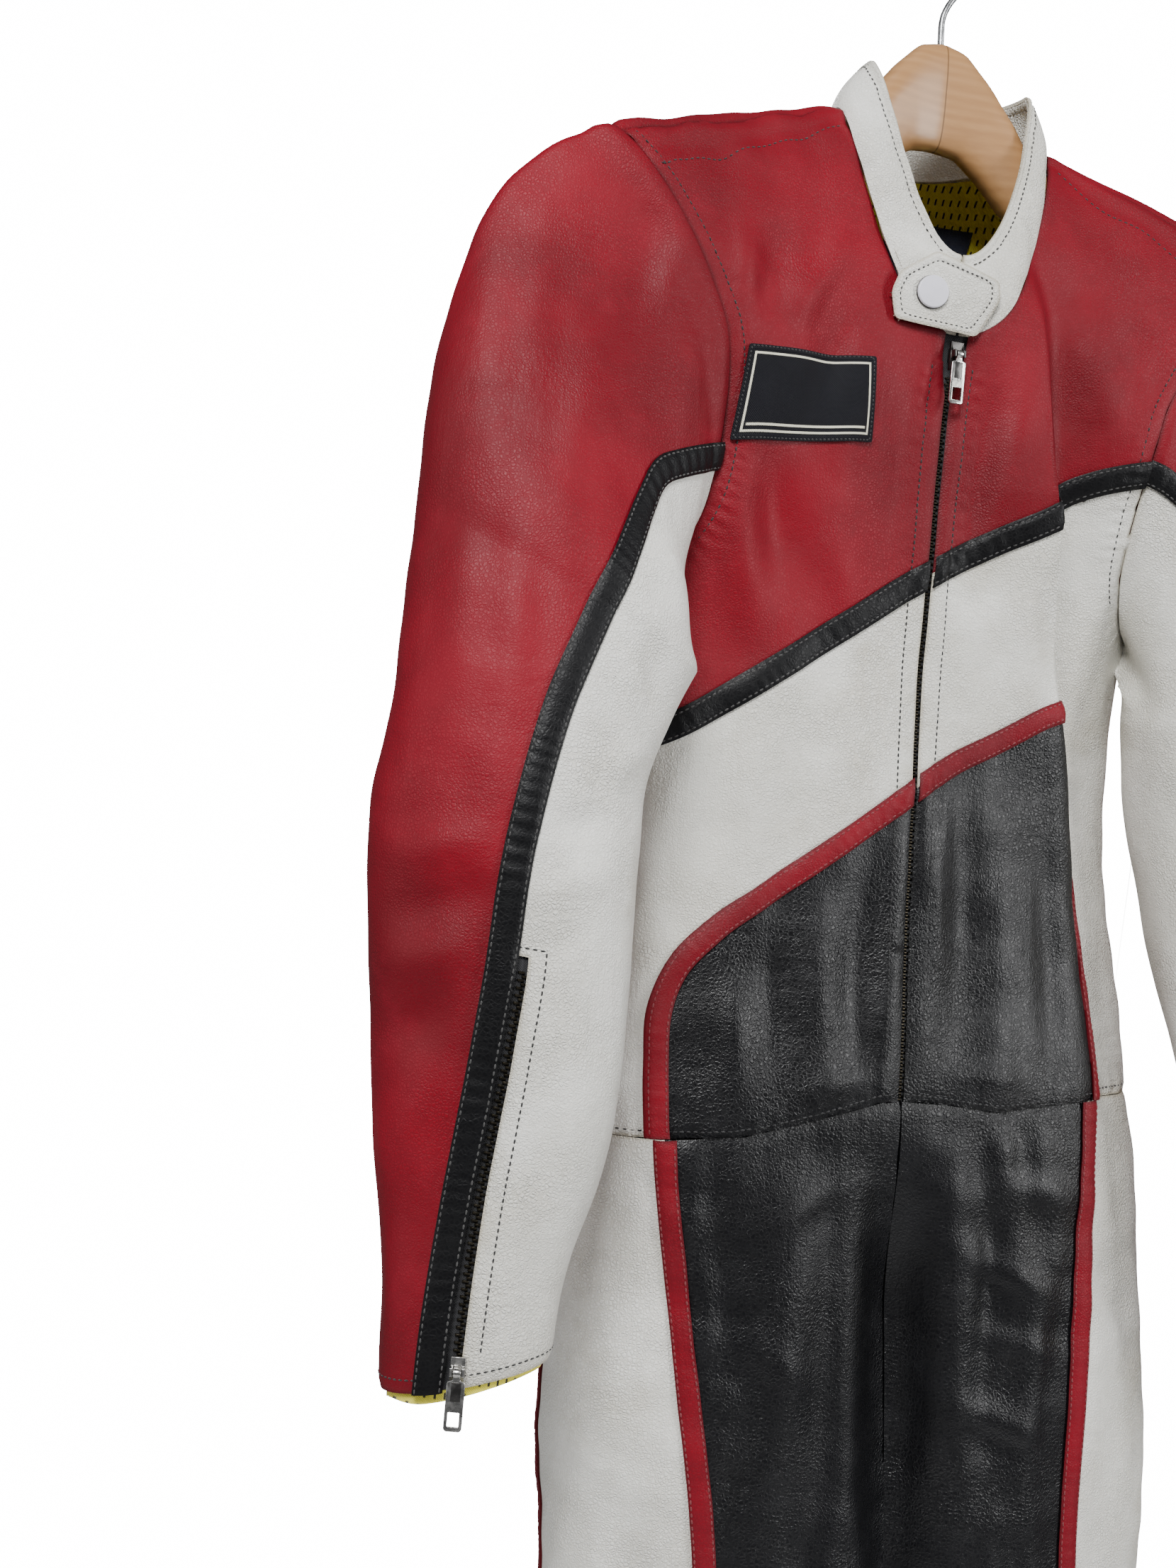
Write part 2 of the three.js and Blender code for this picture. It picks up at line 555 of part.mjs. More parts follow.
// Inside the body: the zip's tape, the lining that shows in the neck, and its blank labels
const liningGrid = bodyGrid.slice(0, -1);
const tapeOutline = [[-10, -120], [10, -120], [10, -560], [-10, -560]];
const tapeWall = wall(bodyGrid, -LEATHER - TAPE_GAP - LINING, -LEATHER - TAPE_GAP).subtract(belowWaist(SEAM_GAP));
add("zip_tape", largest(tapeWall.intersect(frontPrism(tapeOutline, -FAR, 0))), TAPE);
const teethWall = wall(bodyGrid, -LEATHER - TAPE_GAP + SEAM_GAP, -LEATHER - SEAM_GAP).subtract(belowWaist(SEAM_GAP));
const teethOutline = [[-2.6, ZIP_TOP - 9], [2.6, ZIP_TOP - 9], [2.6, -560], [-2.6, -560]];
add("zip_teeth", largest(teethWall.intersect(frontPrism(teethOutline, -FAR, 0))), GUNMETAL);

const liningWall = wall(liningGrid, -LEATHER - LINING_GAP - LINING, -LEATHER - LINING_GAP);
const neckLining = [[-92, -14], [92, -14], [118, -150], [-118, -150]];
const liningYoke = liningWall.intersect(frontPrism(neckLining, 12, FAR));
add("lining_yoke", largest(liningYoke), YELLOW);

const labelWall = wall(liningGrid, -LEATHER - LINING_GAP - LINING - 1.1, -LEATHER - LINING_GAP - LINING - 0.3);
const label = (outline) => largest(labelWall.intersect(frontPrism(outline, 12, FAR)));
add("neck_label", label([[4, -28], [54, -31], [50, -76], [0, -73]]), LABEL);
add("size_label", label([[5, -16.5], [19, -16.5], [19, -27], [5, -27]]), WHITE);

// Cloth made column by column, so that its long seams lie along columns

function clothOf(grid, isMirrored) {
  // A closed tube of cloth. A mirrored one has its columns the other way round, as seen from outside.
  const flip = (rows) => (isMirrored ? rows.map((row) => row.slice().reverse()) : rows);
  return { grid, normals: flip(normalsOf(flip(grid), true)), isMirrored };
}

function columnAt(cloth, place) {
  // The points and normals of a column, also of one between two columns of the grid.
  const count = cloth.grid[0].length;
  const i = Math.floor(place);
  const f = place - i;
  const at = (k) => ((k % count) + count) % count;
  const mix = (row) => row[at(i)].clone().lerp(row[at(i + 1)], f);
  return { points: cloth.grid.map(mix), normals: cloth.normals.map((row) => mix(row).normalize()) };
}

function cutFrom(cloth, from, to, low, high, margin = 0) {
  // The piece between two columns, with its long edges moved in by margin.
  const places = [from];
  for (let k = Math.floor(from) + 1; k < to - 1e-6; k++) places.push(k);
  places.push(to);
  const columns = places.map((place) => columnAt(cloth, place));
  const moveIn = (edge, next) =>
    edge.points.map((p, j) => p.clone().add(new THREE.Vector3().subVectors(next.points[j], p).setLength(margin)));
  if (margin > 0) {
    const first = moveIn(columns[0], columns[1]);
    const last = moveIn(columns.at(-1), columns.at(-2));
    columns[0].points = first;
    columns.at(-1).points = last;
  }
  if (cloth.isMirrored) columns.reverse();
  const rows = cloth.grid.map((_, j) => columns.map((column) => column.points[j]));
  const normals = cloth.grid.map((_, j) => columns.map((column) => column.normals[j]));
  return wallOf(rows, normals, low, high, false);
}

function stripAlong(cloth, column, width, low, high) {
  // A strip of constant width sewn over the seam along a column.
  const middle = columnAt(cloth, column);
  const side = (way) => {
    const next = columnAt(cloth, column + way);
    return middle.points.map((p, j) => {
      const share = width / 2 / Math.max(p.distanceTo(next.points[j]), width / 2);
      return {
        point: p.clone().lerp(next.points[j], share),
        normal: middle.normals[j].clone().lerp(next.normals[j], share).normalize(),
      };
    });
  };
  const middleSpots = middle.points.map((point, j) => ({ point, normal: middle.normals[j] }));
  const spots = [side(-1), middleSpots, side(1)];
  if (cloth.isMirrored) spots.reverse();
  const rows = cloth.grid.map((_, j) => spots.map((spot) => spot[j].point));
  const normals = cloth.grid.map((_, j) => spots.map((spot) => spot[j].normal));
  return wallOf(rows, normals, low, high, false);
}

// The trousers: on each side one D-shaped tube from the waist to the ankle, open between the legs down to the crotch.
// Columns start at the inseam and run by the front, the outer side and the back to the inseam again.
const PANTS_SPANS = { innerFront: 2, front: 4, side: 5, back: 5, innerBack: 2 };
const PANTS_Z = [-500, -535, -575, -630, -690, -750, -800, -850, -915, -995, -1090, -1190, -1300, -1415, -1530];
const INNER_CORNER = (55 * Math.PI) / 180; // on a round leg the inner wall ends at this angle from the inner side

function legPlaceAt(z) {
  if (z >= LEG[0][0]) return 0;
  for (let i = 1; i < LEG.length; i++)
    if (z >= LEG[i][0]) return i - 1 + (LEG[i - 1][0] - z) / (LEG[i - 1][0] - LEG[i][0]);
  return LEG.length - 1;
}

function pantsPoint(side, z, share, isInner = false) {
  // share: 0 at the front centre to 1 at the back centre round the outside, or back to front along the inner wall.
  const leg = named(LEG_COLUMNS, rowAt(LEG, legPlaceAt(z)));
  const hipZ = Math.max(z, CROTCH_Z);
  const place = bodyPlaceAt(hipZ);
  const centre = rowAt(BODY, place).at(-1);
  const innerX = centre + side * SEAM_GAP * 0.7;
  const hipAt = (s) => {
    const p = bodyPoint(side > 0 ? s / 2 : 1 - s / 2, place);
    if (side * (p.x - innerX) < 0 || s <= 0 || s >= 1) p.x = innerX;
    return p.setZ(z);
  };
  const hip = isInner ? hipAt(1).lerp(hipAt(0), share) : hipAt(share);
  const oval = z > CROTCH_Z ? 0 : THREE.MathUtils.smoothstep(leg.oval, 0, 1);
  const [from, to] = isInner
    ? [2 * Math.PI - INNER_CORNER, 2 * Math.PI + INNER_CORNER]
    : [INNER_CORNER, 2 * Math.PI - INNER_CORNER];
  const angle = THREE.MathUtils.lerp(from, to, share);
  const depth = Math.sin(angle) < 0 ? leg.back : leg.front;
  const round = new THREE.Vector3(
    centre + side * (leg.middle - Math.cos(angle) * leg.half),
    leg.shift - Math.sin(angle) * depth,
    z,
  );
  return hip.lerp(round, oval);
}

function spread(from, to, spans) {
  return Array.from({ length: spans }, (_, k) => THREE.MathUtils.lerp(from, to, k / spans));
}

function pantsRing(side, z, line) {
  const seamX = alongZ(line, z, "x");
  const frontShare = shareWhere(0, 0.5, (s) => side * (pantsPoint(side, z, s).x - seamX) > 0);
  const rearShare = shareWhere(0.3, 0.9, (s) => pantsPoint(side, z, s).y > REAR_STRIPE_Y);
  const { innerFront, front, side: across, back, innerBack } = PANTS_SPANS;
  return [
    ...spread(0.5, 1, innerFront).map((s) => pantsPoint(side, z, s, true)),
    ...spread(0, frontShare, front).map((s) => pantsPoint(side, z, s)),
    ...spread(frontShare, rearShare, across).map((s) => pantsPoint(side, z, s)),
    ...spread(rearShare, 1, back).map((s) => pantsPoint(side, z, s)),
    ...spread(0, 0.5, innerBack).map((s) => pantsPoint(side, z, s, true)),
  ];
}

const crotchOpening = [
  [-24, -400], [-24, -700], [-22, -760], [-12, -790], [4, -799], [30, -789], [54, -752], [64, -690],
  [62, -600], [56, -500], [56, -400],
];

const PANTS_SIDES = [
  { word: "right", side: -1, line: LEG_LINE_RIGHT },
  { word: "left", side: 1, line: LEG_LINE_LEFT },
];

for (const { word, side, line } of PANTS_SIDES) {
  const seam = smoothLine(line, 40);
  const cloth = clothOf(PANTS_Z.map((z) => pantsRing(side, z, seam)), side < 0);
  const frontColumn = PANTS_SPANS.innerFront + PANTS_SPANS.front;
  const rearColumn = frontColumn + PANTS_SPANS.side;
  const count = cloth.grid[0].length;
  const open = sidePrism(crotchOpening, -30, 40);
  const trim = (solid) => largest(solid.intersect(belowWaist(-SEAM_GAP / 2)).subtract(open));
  const panel = (from, to) => trim(cutFrom(cloth, from, to, -LEATHER, 0, SEAM_GAP / 2));
  add(`pants_front_${word}_black`, panel(0, frontColumn), BLACK);
  add(`pants_side_${word}_white`, panel(frontColumn, rearColumn), WHITE);
  add(`pants_back_${word}_black`, panel(rearColumn, count), BLACK);
  const legStrip = (column) => trim(stripAlong(cloth, column, STRIPE_RED, LEG_STRIP_LOW, OVERLAY_HIGH));
  add(`strip_red_leg_front_${word}`, legStrip(frontColumn), RED);
  add(`strip_red_leg_back_${word}`, legStrip(rearColumn), RED);
}

// The sleeves: each a tube from the armhole seam to the cuff, with a cap that bends over at the shoulder tip.
// Columns start at the rear seam and run over the outer side and the front to the inner side and the back.
const SLEEVE_SPANS = { outer: 6, inner: 5, back: 5 };
const REAR_SEAM = (-20 * Math.PI) / 180;
const UNDER_SEAM = (232 * Math.PI) / 180;
const CAP_ROWS = 6;
const SLEEVE_PLACES = [0, 1, 2, 3, 4, 4.6, 5.3, 6, 7];

function armholeLoop(side) {
  // The armhole seam on the body's surface, from the shoulder tip down the front and up the back.
  const front = ARMHOLE_FRONT.map((p) => onBody(side * p.x, p.z, true));
  const back = ARMHOLE_BACK.slice().reverse().map((p) => onBody(side * p.x, p.z, false));
  return new THREE.CatmullRomCurve3([...front, ...back], true, "centripetal");
}

function sleeveRing(row, side, angle) {
  // angle: 0 at the outer side, a quarter turn at the front, half a turn beside the body.
  const ring = named(SLEEVE_COLUMNS, row);
  const turn = (ring.turn * Math.PI) / 180;
  const out = side * Math.cos(angle) * ring.half;
  const forth = -Math.sin(angle) * ring.depth;
  return new THREE.Vector3(
    ring.x + out * Math.cos(turn) + forth * Math.sin(turn),
    ring.y - out * Math.sin(turn) + forth * Math.cos(turn),
    ring.z - (ring.tilt * side * out) / ring.half,
  );
}

function capPoint(loop, table, side, angle, along) {
  // A point of the cap, from the armhole seam at 0 to the first ring of the table at 1.
  const turns = angle / (2 * Math.PI);
  const start = loop.getPointAt(turns - Math.floor(turns));
  const end = sleeveRing(table[0], side, angle);
  const outer = (1 + Math.cos(angle)) / 2; // 1 at the shoulder tip, 0 at the armpit
  const under = new THREE.Vector3().subVectors(end, start).multiplyScalar(0.35).add(new THREE.Vector3(0, 0, -6));
  const over = new THREE.Vector3(side * 68, 0, -21);
  const first = start.clone().add(under.lerp(over, outer));
  const second = end.clone().add(new THREE.Vector3(0, 0, 14 + 86 * outer));
  return new THREE.CubicBezierCurve3(start, first, second, end).getPoint(along);
}

function lineSide(line, side, p) {
  // Positive where a point lies on the inner side of the strip's line, seen from the front.
  let best = Infinity;
  let value = 0;
  for (let i = 1; i < line.length; i++) {
    const [a, b] = [line[i - 1], line[i]];
    const [dx, dz] = [b.x - a.x, b.z - a.z];
    const t = THREE.MathUtils.clamp(((p.x - a.x) * dx + (p.z - a.z) * dz) / (dx * dx + dz * dz), 0, 1);
    const distance = Math.hypot(a.x + t * dx - p.x, a.z + t * dz - p.z);
    if (distance < best) {
      best = distance;
      value = side * (dz * (p.x - a.x) - dx * (p.z - a.z));
    }
  }
  return value;
}

function sleeveRow(point, side, line) {
  const seam = shareWhere(0.25 * Math.PI, 0.85 * Math.PI, (angle) => lineSide(line, side, point(angle)) > 0);
  const { outer, inner, back } = SLEEVE_SPANS;
  const angles = [
    ...spread(REAR_SEAM, seam, outer),
    ...spread(seam, UNDER_SEAM, inner),
    ...spread(UNDER_SEAM, REAR_SEAM + 2 * Math.PI, back),
  ];
  return angles.map(point);
}

function sleeveCloth(table, side, line) {
  const loop = armholeLoop(side);
  const grid = [];
  for (let j = 0; j < CAP_ROWS; j++)
    grid.push(sleeveRow((angle) => capPoint(loop, table, side, angle, j / CAP_ROWS), side, line));
  for (const place of SLEEVE_PLACES)
    grid.push(sleeveRow((angle) => sleeveRing(rowAt(table, place), side, angle), side, line));
  return clothOf(grid, side > 0);
}

const SLEEVES = [
  { word: "right", side: -1, table: SLEEVE_RIGHT, line: SLEEVE_LINE_RIGHT },
  { word: "left", side: 1, table: SLEEVE_LEFT, line: SLEEVE_LINE_LEFT },
];

function sleeveFrontHalf(table) {
  // Everything in front of the sleeve's middle, seen from the side.
  const middle = table.map((row) => [row[2], row[0]]);
  return sidePrism([[-FAR, 0], [middle[0][0], 0], ...middle, [middle.at(-1)[0], -800], [-FAR, -800]]);
}

const cuffSpots = {};

for (const { word, side, table, line } of SLEEVES) {
  const seam = smoothLine(line, 36);
  const cloth = sleeveCloth(table, side, seam);
  const bodyWall = wall(bodyGrid, -LEATHER - SEAM_GAP, OVERLAY_HIGH + SEAM_GAP).subtract(armholeCut(side));
  const stripeColumn = SLEEVE_SPANS.outer;
  const underColumn = stripeColumn + SLEEVE_SPANS.inner;
  const count = cloth.grid[0].length;
  const trim = (solid) => largest(solid.subtract(bodyWall));
  const panel = (from, to) => trim(cutFrom(cloth, from, to, -LEATHER, 0, SEAM_GAP / 2));

  const zipLine = seam.filter((p) => p.z < CUFF_ZIP.top + 20).filter((_, k) => k % 3 === 0 || k > 12);
  const along = (width, top) =>
    frontPrism(ribbon(zipLine, width, -side * CUFF_ZIP.shift))
      .intersect(sleeveFrontHalf(table))
      .intersect(box(-FAR, FAR, -FAR, FAR, -900, top));
  const lowerRows = [...Array(SLEEVE_PLACES.length - 3).keys()].map((k) => k + 3);
  const lower = clothOf(lowerRows.map((k) => cloth.grid[CAP_ROWS + k]), cloth.isMirrored);
  const lowerWall = (low, high) => cutFrom(lower, stripeColumn - 1, underColumn, low, high);

  add(`sleeve_outer_${word}_red`, panel(0, stripeColumn), RED);
  const inner = panel(stripeColumn, underColumn).subtract(along(CUFF_ZIP.slot, CUFF_ZIP.top));
  add(`sleeve_inner_${word}_white`, largest(inner), WHITE);
  add(`sleeve_back_${word}_red`, panel(underColumn, count), RED);
  const strip = stripAlong(cloth, stripeColumn, STRIPE_BLACK, OVERLAY_LOW, OVERLAY_HIGH);
  const under = cutFrom(cloth, stripeColumn - 1, stripeColumn + 1, -LEATHER, OVERLAY_LOW - 0.12);
  add(`strip_black_sleeve_${word}`, trim(strip.subtract(under)), BLACK);

  const teeth = lowerWall(-LEATHER - TAPE_GAP + SEAM_GAP, -LEATHER - SEAM_GAP);
  add(`cuff_zip_teeth_${word}`, largest(teeth.intersect(along(5.2, CUFF_ZIP.top - 1))), GUNMETAL);
  const tape = lowerWall(-LEATHER - TAPE_GAP - LINING, -LEATHER - TAPE_GAP);
  add(`cuff_zip_tape_${word}`, largest(tape.intersect(along(18, CUFF_ZIP.top + 4))), TAPE);

  // The lining shows a little below the cuff.
  const hem = cloth.grid.at(-1).map((p) => p.clone().add(new THREE.Vector3(0, 0, -4)));
  const liningRows = [cloth.grid.at(-2), cloth.grid.at(-1), hem];
  const liningCloth = clothOf(liningRows, cloth.isMirrored);
  const liningHigh = -LEATHER - TAPE_GAP - LINING - LINING_GAP;
  add(`lining_cuff_${word}`, wallOf(
    cloth.isMirrored ? liningCloth.grid.map((row) => row.slice().reverse()) : liningCloth.grid,
    cloth.isMirrored ? liningCloth.normals.map((row) => row.slice().reverse()) : liningCloth.normals,
    liningHigh - LINING, liningHigh, true,
  ), YELLOW);

  // Where the cuff's slider sits: on the slot, facing out of the sleeve.
  const lineX = alongZ(seam, CUFF_ZIP.slider, "x") - side * CUFF_ZIP.shift;
  const ring = rowAt(table, 6 + (-600 - CUFF_ZIP.slider) / 46);
  const angle = shareWhere(0.2 * Math.PI, 0.9 * Math.PI, (a) => side * (sleeveRing(ring, side, a).x - lineX) <= 0);
  const spot = sleeveRing(ring, side, angle);
  const beside = sleeveRing(ring, side, angle + 0.05).sub(sleeveRing(ring, side, angle - 0.05));
  cuffSpots[word] = { spot, facing: Math.atan2(-side * beside.y, -side * beside.x) };
}

// The collar: a band that stands up from the neckline and leans inwards, open at the front
const COLLAR_TOP = { half: 48, centre: 4, front: -37, back: 45, zSide: 31, zFront: -74, zBack: 32 };
const COLLAR_TURNS = BODY_TURNS.map((turn) => turnBesideFold(turn, 0));
const COLLAR_SLOT = 0.4; // the two ends meet at the front under the tab

function collarPoint(turn, up) {
  // up: 0 at the neckline, 1 at the upper edge.
  const base = bodyPoint(turn, 0);
  const sine = Math.sin(turn * 2 * Math.PI);
  const cosine = Math.cos(turn * 2 * Math.PI);
  const { half, centre, front, back, zSide, zFront, zBack } = COLLAR_TOP;
  const top = new THREE.Vector3(
    centre + half * sine,
    -6 + (cosine > 0 ? front + 6 : back + 6) * Math.abs(cosine),
    zSide + ((cosine > 0 ? zFront : zBack) - zSide) * (cosine > 0 ? 1 - Math.abs(sine) ** 2.2 : cosine * cosine),
  );
  const swell = 3 * Math.sin(Math.PI * up); // the band bows out a little between its edges
  const outward = new THREE.Vector3(sine, -cosine, 0);
  return base.lerp(top, up).addScaledVector(outward, swell);
}

// Rows run down, so the upper edge comes first.
const collarGrid = [1, 0.5, 0.015].map((up) => COLLAR_TURNS.map((turn) => collarPoint(turn, up)));
const collarSolid = wall(collarGrid, -COLLAR_LEATHER, 0);
const neckClear = wall(bodyGrid.slice(0, 6), -LEATHER - LINING_GAP - LINING - SEAM_GAP, SEAM_GAP);
const collarSlot = box(-COLLAR_SLOT / 2, COLLAR_SLOT / 2, -100, 0, -140, -40);
add("collar", largest(collarSolid.subtract(neckClear).subtract(collarSlot)), WHITE);

// The tab that buttons the collar, laid over the collar's front and the upper edge of the chest
const TAB = [[-37, -117], [-40, -103], [-36, -92], [-17, -79], [19, -90], [20, -100], [8, -121]];
const TAB_THICK = 2.4;

function frontmostAt(x, z) {
  // How far forward the collar or the chest reaches behind a point of the tab.
  let y = Infinity;
  for (const turn of [...spread(0.86, 1, 40), ...spread(0, 0.14, 40)])
    for (let up = 0; up <= 1; up += 0.05) {
      const p = collarPoint(turn, up);
      if (Math.hypot(p.x - x, p.z - z) < 3.5) y = Math.min(y, p.y);
    }
  const chest = onBody(x, z, true);
  if (Math.hypot(chest.x - x, chest.z - z) < 1) y = Math.min(y, chest.y);
  return y;
}

// The tab is stiff, so it takes a smooth curve through the forward reach of what lies under it.
const TAB_LIFT = 0.1;
const tabReach = [-40, -25, -10, 5, 20].map((x) =>
  Math.min(...[-118, -108, -98, -88].map((z) => frontmostAt(x, z)).filter(Number.isFinite)),
);

function frontmostCurve(x) {
  return rowAt(tabReach.map((y) => [y]), THREE.MathUtils.clamp((x + 40) / 15, 0, 4))[0];
}

const tabAcross = [-44, -32, -20, -8, 4, 14, 24];
const tabGrid = [-74, -90, -106, -124].map((z) =>
  tabAcross.map((x) => new THREE.Vector3(x, frontmostCurve(x) - TAB_LIFT, z)),
);
const tab = wall(tabGrid, 0, TAB_THICK, false).intersect(frontPrism(TAB));
add("collar_tab", largest(tab), WHITE);

// The snap's round cap on the tab
function tabSlope(x) {
  const [a, b] = [x - 3, x + 3].map((at) => frontmostCurve(at));
  return Math.atan2(b - a, 6);
}

const SNAP = { x: -18, z: -101, radius: 8.5, height: 2.2 };
const snapProfile = [[0, 0], [SNAP.radius - 0.6, 0], [SNAP.radius, 0.6], [SNAP.radius - 1.2, 1.7], [0, SNAP.height]];
const snap = new THREE.LatheGeometry(snapProfile.map(([r, h]) => new THREE.Vector2(r, h)), 28)
  .rotateX(Math.PI)
  .rotateZ(tabSlope(SNAP.x))
  .translate(SNAP.x, frontmostCurve(SNAP.x) - TAB_LIFT - TAB_THICK - SEAM_GAP, SNAP.z);
add("snap_cap", solidFrom(snap), CAP);

// Zip sliders, each with its pull tab on a pin. They are drawn with the slot at x = 0, facing -Y.
const PULL = { half: 4.1, length: 26, thick: 1.3, eye: 2.1, hole: 1.15, pin: 0.8, pinOut: 4.7, neck: 1.7 };

function sliderSolid({ half, top, bottom, inner, web }) {
  // A flat body above the slot, a web down to the teeth, and two ears with the pin.
  const body = box(-half, half, -2.2, -SEAM_GAP, bottom, top);
  const foot = box(-web, web, -SEAM_GAP - 0.1, inner, bottom / 2, top / 2);
  const ear = (low, high) => box(low, high, -PULL.pinOut - 1.3, -2, -1.6, 2.2);
  const ears = ear(-3.3, -2.1).add(ear(2.1, 3.3));
  const pinShape = new THREE.CylinderGeometry(PULL.pin, PULL.pin, 6, 12).rotateZ(Math.PI / 2);
  const pin = solidFrom(pinShape.translate(0, -PULL.pinOut, 0));
  return body.add(foot).add(ears).add(pin);
}

function pullSolid() {
  const { half, length, thick, eye, hole, neck } = PULL;
  const plate = new THREE.Shape([
    [-neck, 0], [neck, 0], [neck, -3.4], [half - 0.6, -3.9], [half, -4.8], [half, -length + 1], [half - 1, -length],
    [1 - half, -length], [-half, 1 - length], [-half, -4.8], [0.6 - half, -3.9], [-neck, -3.4],
  ].map(([x, z]) => new THREE.Vector2(x, z)));
  const windowHole = (low, high) =>
    new THREE.Path([[-2.6, low], [2.6, low], [2.6, high], [-2.6, high]].map(([x, z]) => new THREE.Vector2(x, z)));
  plate.holes.push(windowHole(-length + 2, -length + 8.5));
  const sheet = new THREE.ExtrudeGeometry(plate, { depth: thick, bevelEnabled: false });
  const flat = solidFrom(sheet.translate(0, 0, -thick / 2).rotateX(Math.PI / 2));
  const barrel = new THREE.CylinderGeometry(eye, eye, 2 * neck, 12).rotateZ(Math.PI / 2);
  const bore = new THREE.CylinderGeometry(hole, hole, 3 * neck, 12).rotateZ(Math.PI / 2);
  return flat.add(solidFrom(barrel)).subtract(solidFrom(bore)).translate(0, -PULL.pinOut, 0);
}

const placed = (solid, spot, facing) => solid.rotate([0, 0, (facing * 180) / Math.PI]).translate(spot.toArray());

const mainSpot = onBody(0, ZIP_TOP, true);
const mainSlider = sliderSolid({ half: 3.6, top: 7, bottom: -8, inner: 1.4, web: 3.4 });
add("zip_slider", placed(mainSlider, mainSpot, 0), GUNMETAL);
add("zip_pull", placed(pullSolid(), mainSpot, 0), NICKEL);
for (const { word } of SLEEVES) {
  const { spot, facing } = cuffSpots[word];
  const cuffSlider = sliderSolid({ half: 3.3, top: 6, bottom: -6, inner: 0.4, web: 0.6 });
  add(`cuff_slider_${word}`, placed(cuffSlider, spot, facing), NICKEL);
  add(`cuff_pull_${word}`, placed(pullSolid(), spot, facing), NICKEL);
}

// The hanger: two mitred arms of wood, which the shoulders rest on, and a wire hook
const WIRE = 1.8; // radius of the hook's wire
const HOOK_RADIUS = 20; // to the wire's middle
const WOOD_COLUMNS = ["x", "top", "bottom", "depth"];
const WOOD_ARM = [
  [0, 52, -9, 9],
  [14, 48, -11, 9],
  [28, 34, -22, 10],
  [44, 14, -38, 11],
  [60, -11, -50, 12],
  [90, null, -56, 13],
  [125, null, -66, 14],
  [160, null, -74, 15],
  [176, null, -77, 12],
];

function woodRing(x, side) {
  // An upright oval section of the arm, 14 points round.
  const at = WOOD_ARM.findIndex((row) => row[0] === x);
  const row = named(WOOD_COLUMNS, WOOD_ARM[at]);
  const crest = bodyPoint(side > 0 ? 0.25 : 0.75, bodyPlaceOfWidth(Math.max(x, 64)));
  const middleY = crest.y * Math.min(x / 64, 1);
  const top = row.top ?? crest.z - LEATHER + 0.15;
  const middleZ = (top + row.bottom) / 2;
  const half = (top - row.bottom) / 2;
  const boxy = 0.62 + 0.38 * Math.min(x / 90, 1); // flat faces in the middle, an oval further out
  return Array.from({ length: 14 }, (_, k) => {
    const angle = (k / 14) * 2 * Math.PI;
    const y = softPower(Math.sin(angle), boxy) * row.depth;
    return new THREE.Vector3(side * x, middleY + y, middleZ + softPower(Math.cos(angle), boxy) * half);
  });
}

function bodyPlaceOfWidth(x) {
  // The place in the BODY table at which the shoulder's crest is this far from the centre line.
  return shareWhere(0, 4, (place) => rowAt(BODY, place)[1] > x);
}

function loft(rings) {
  // A closed solid through rings of equal counts, with flat ends.
  const count = rings[0].length;
  const points = rings.flatMap((ring) => ring.flatMap((p) => p.toArray()));
  const faces = [];
  for (let j = 0; j < rings.length - 1; j++)
    for (let i = 0; i < count; i++) {
      const [a, b] = [j * count + i, j * count + ((i + 1) % count)];
      faces.push(a, b + count, b, a, a + count, b + count);
    }
  const last = (rings.length - 1) * count;
  for (let i = 1; i < count - 1; i++) faces.push(0, i, i + 1, last, last + i + 1, last + i);
  return manifoldOf(points, faces);
}

const woodRings = [
  ...WOOD_ARM.slice(1).reverse().map((row) => woodRing(row[0], -1)),
  woodRing(0, 1),
  ...WOOD_ARM.slice(1).map((row) => woodRing(row[0], 1)),
];
const stemHole = solidFrom(
  new THREE.CylinderGeometry(WIRE + SEAM_GAP, WIRE + SEAM_GAP, 40, 16).rotateX(Math.PI / 2).translate(0, 0, 55),
);
const shoulderClear = wall(bodyGrid.slice(0, 9), -LEATHER - SEAM_GAP, 4);
add("hanger_wood", largest(loft(woodRings).subtract(stemHole).subtract(shoulderClear)), WOOD);

const hookTop = NECK_DROP + WIRE;
const hookMiddle = hookTop - HOOK_RADIUS;
const bend = (degrees) => {
  const angle = (degrees * Math.PI) / 180;
  return new THREE.Vector3(HOOK_RADIUS * Math.cos(angle), 0, hookMiddle + HOOK_RADIUS * Math.sin(angle));
};
const hookPath = new THREE.CatmullRomCurve3([
  new THREE.Vector3(0, 0, 36),
  new THREE.Vector3(0, 0, 50),
  new THREE.Vector3(0, 0, 66),
  new THREE.Vector3(5, 0, 77),
  new THREE.Vector3(14, 0, 87),
  ...[-5, 20, 45, 67, 90, 113, 135, 160, 180, 200].map(bend),
]);
const wireSection = new THREE.Shape();
wireSection.absarc(0, 0, WIRE, 0, 2 * Math.PI);
const hook = new THREE.ExtrudeGeometry(wireSection, {
  steps: 26,
  curveSegments: 4,
  extrudePath: hookPath,
  bevelEnabled: false,
});
add("hanger_hook", solidFrom(hook), STEEL);

export default suit;
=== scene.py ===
"""Looks of a one-piece leather race suit that hangs zipped up on a wooden hanger.

Shapes are worked out in millimetres from the neck point, as the suit is drafted, with +Z up and the suit's
front towards -Y. "right" and "left" are the wearer's. Each piece is moved into the frame, in metres, when
its mesh is made.
"""

import math

import bpy
import numpy as np
from mathutils import Matrix, Vector
from mathutils.bvhtree import BVHTree
from mathutils.kdtree import KDTree


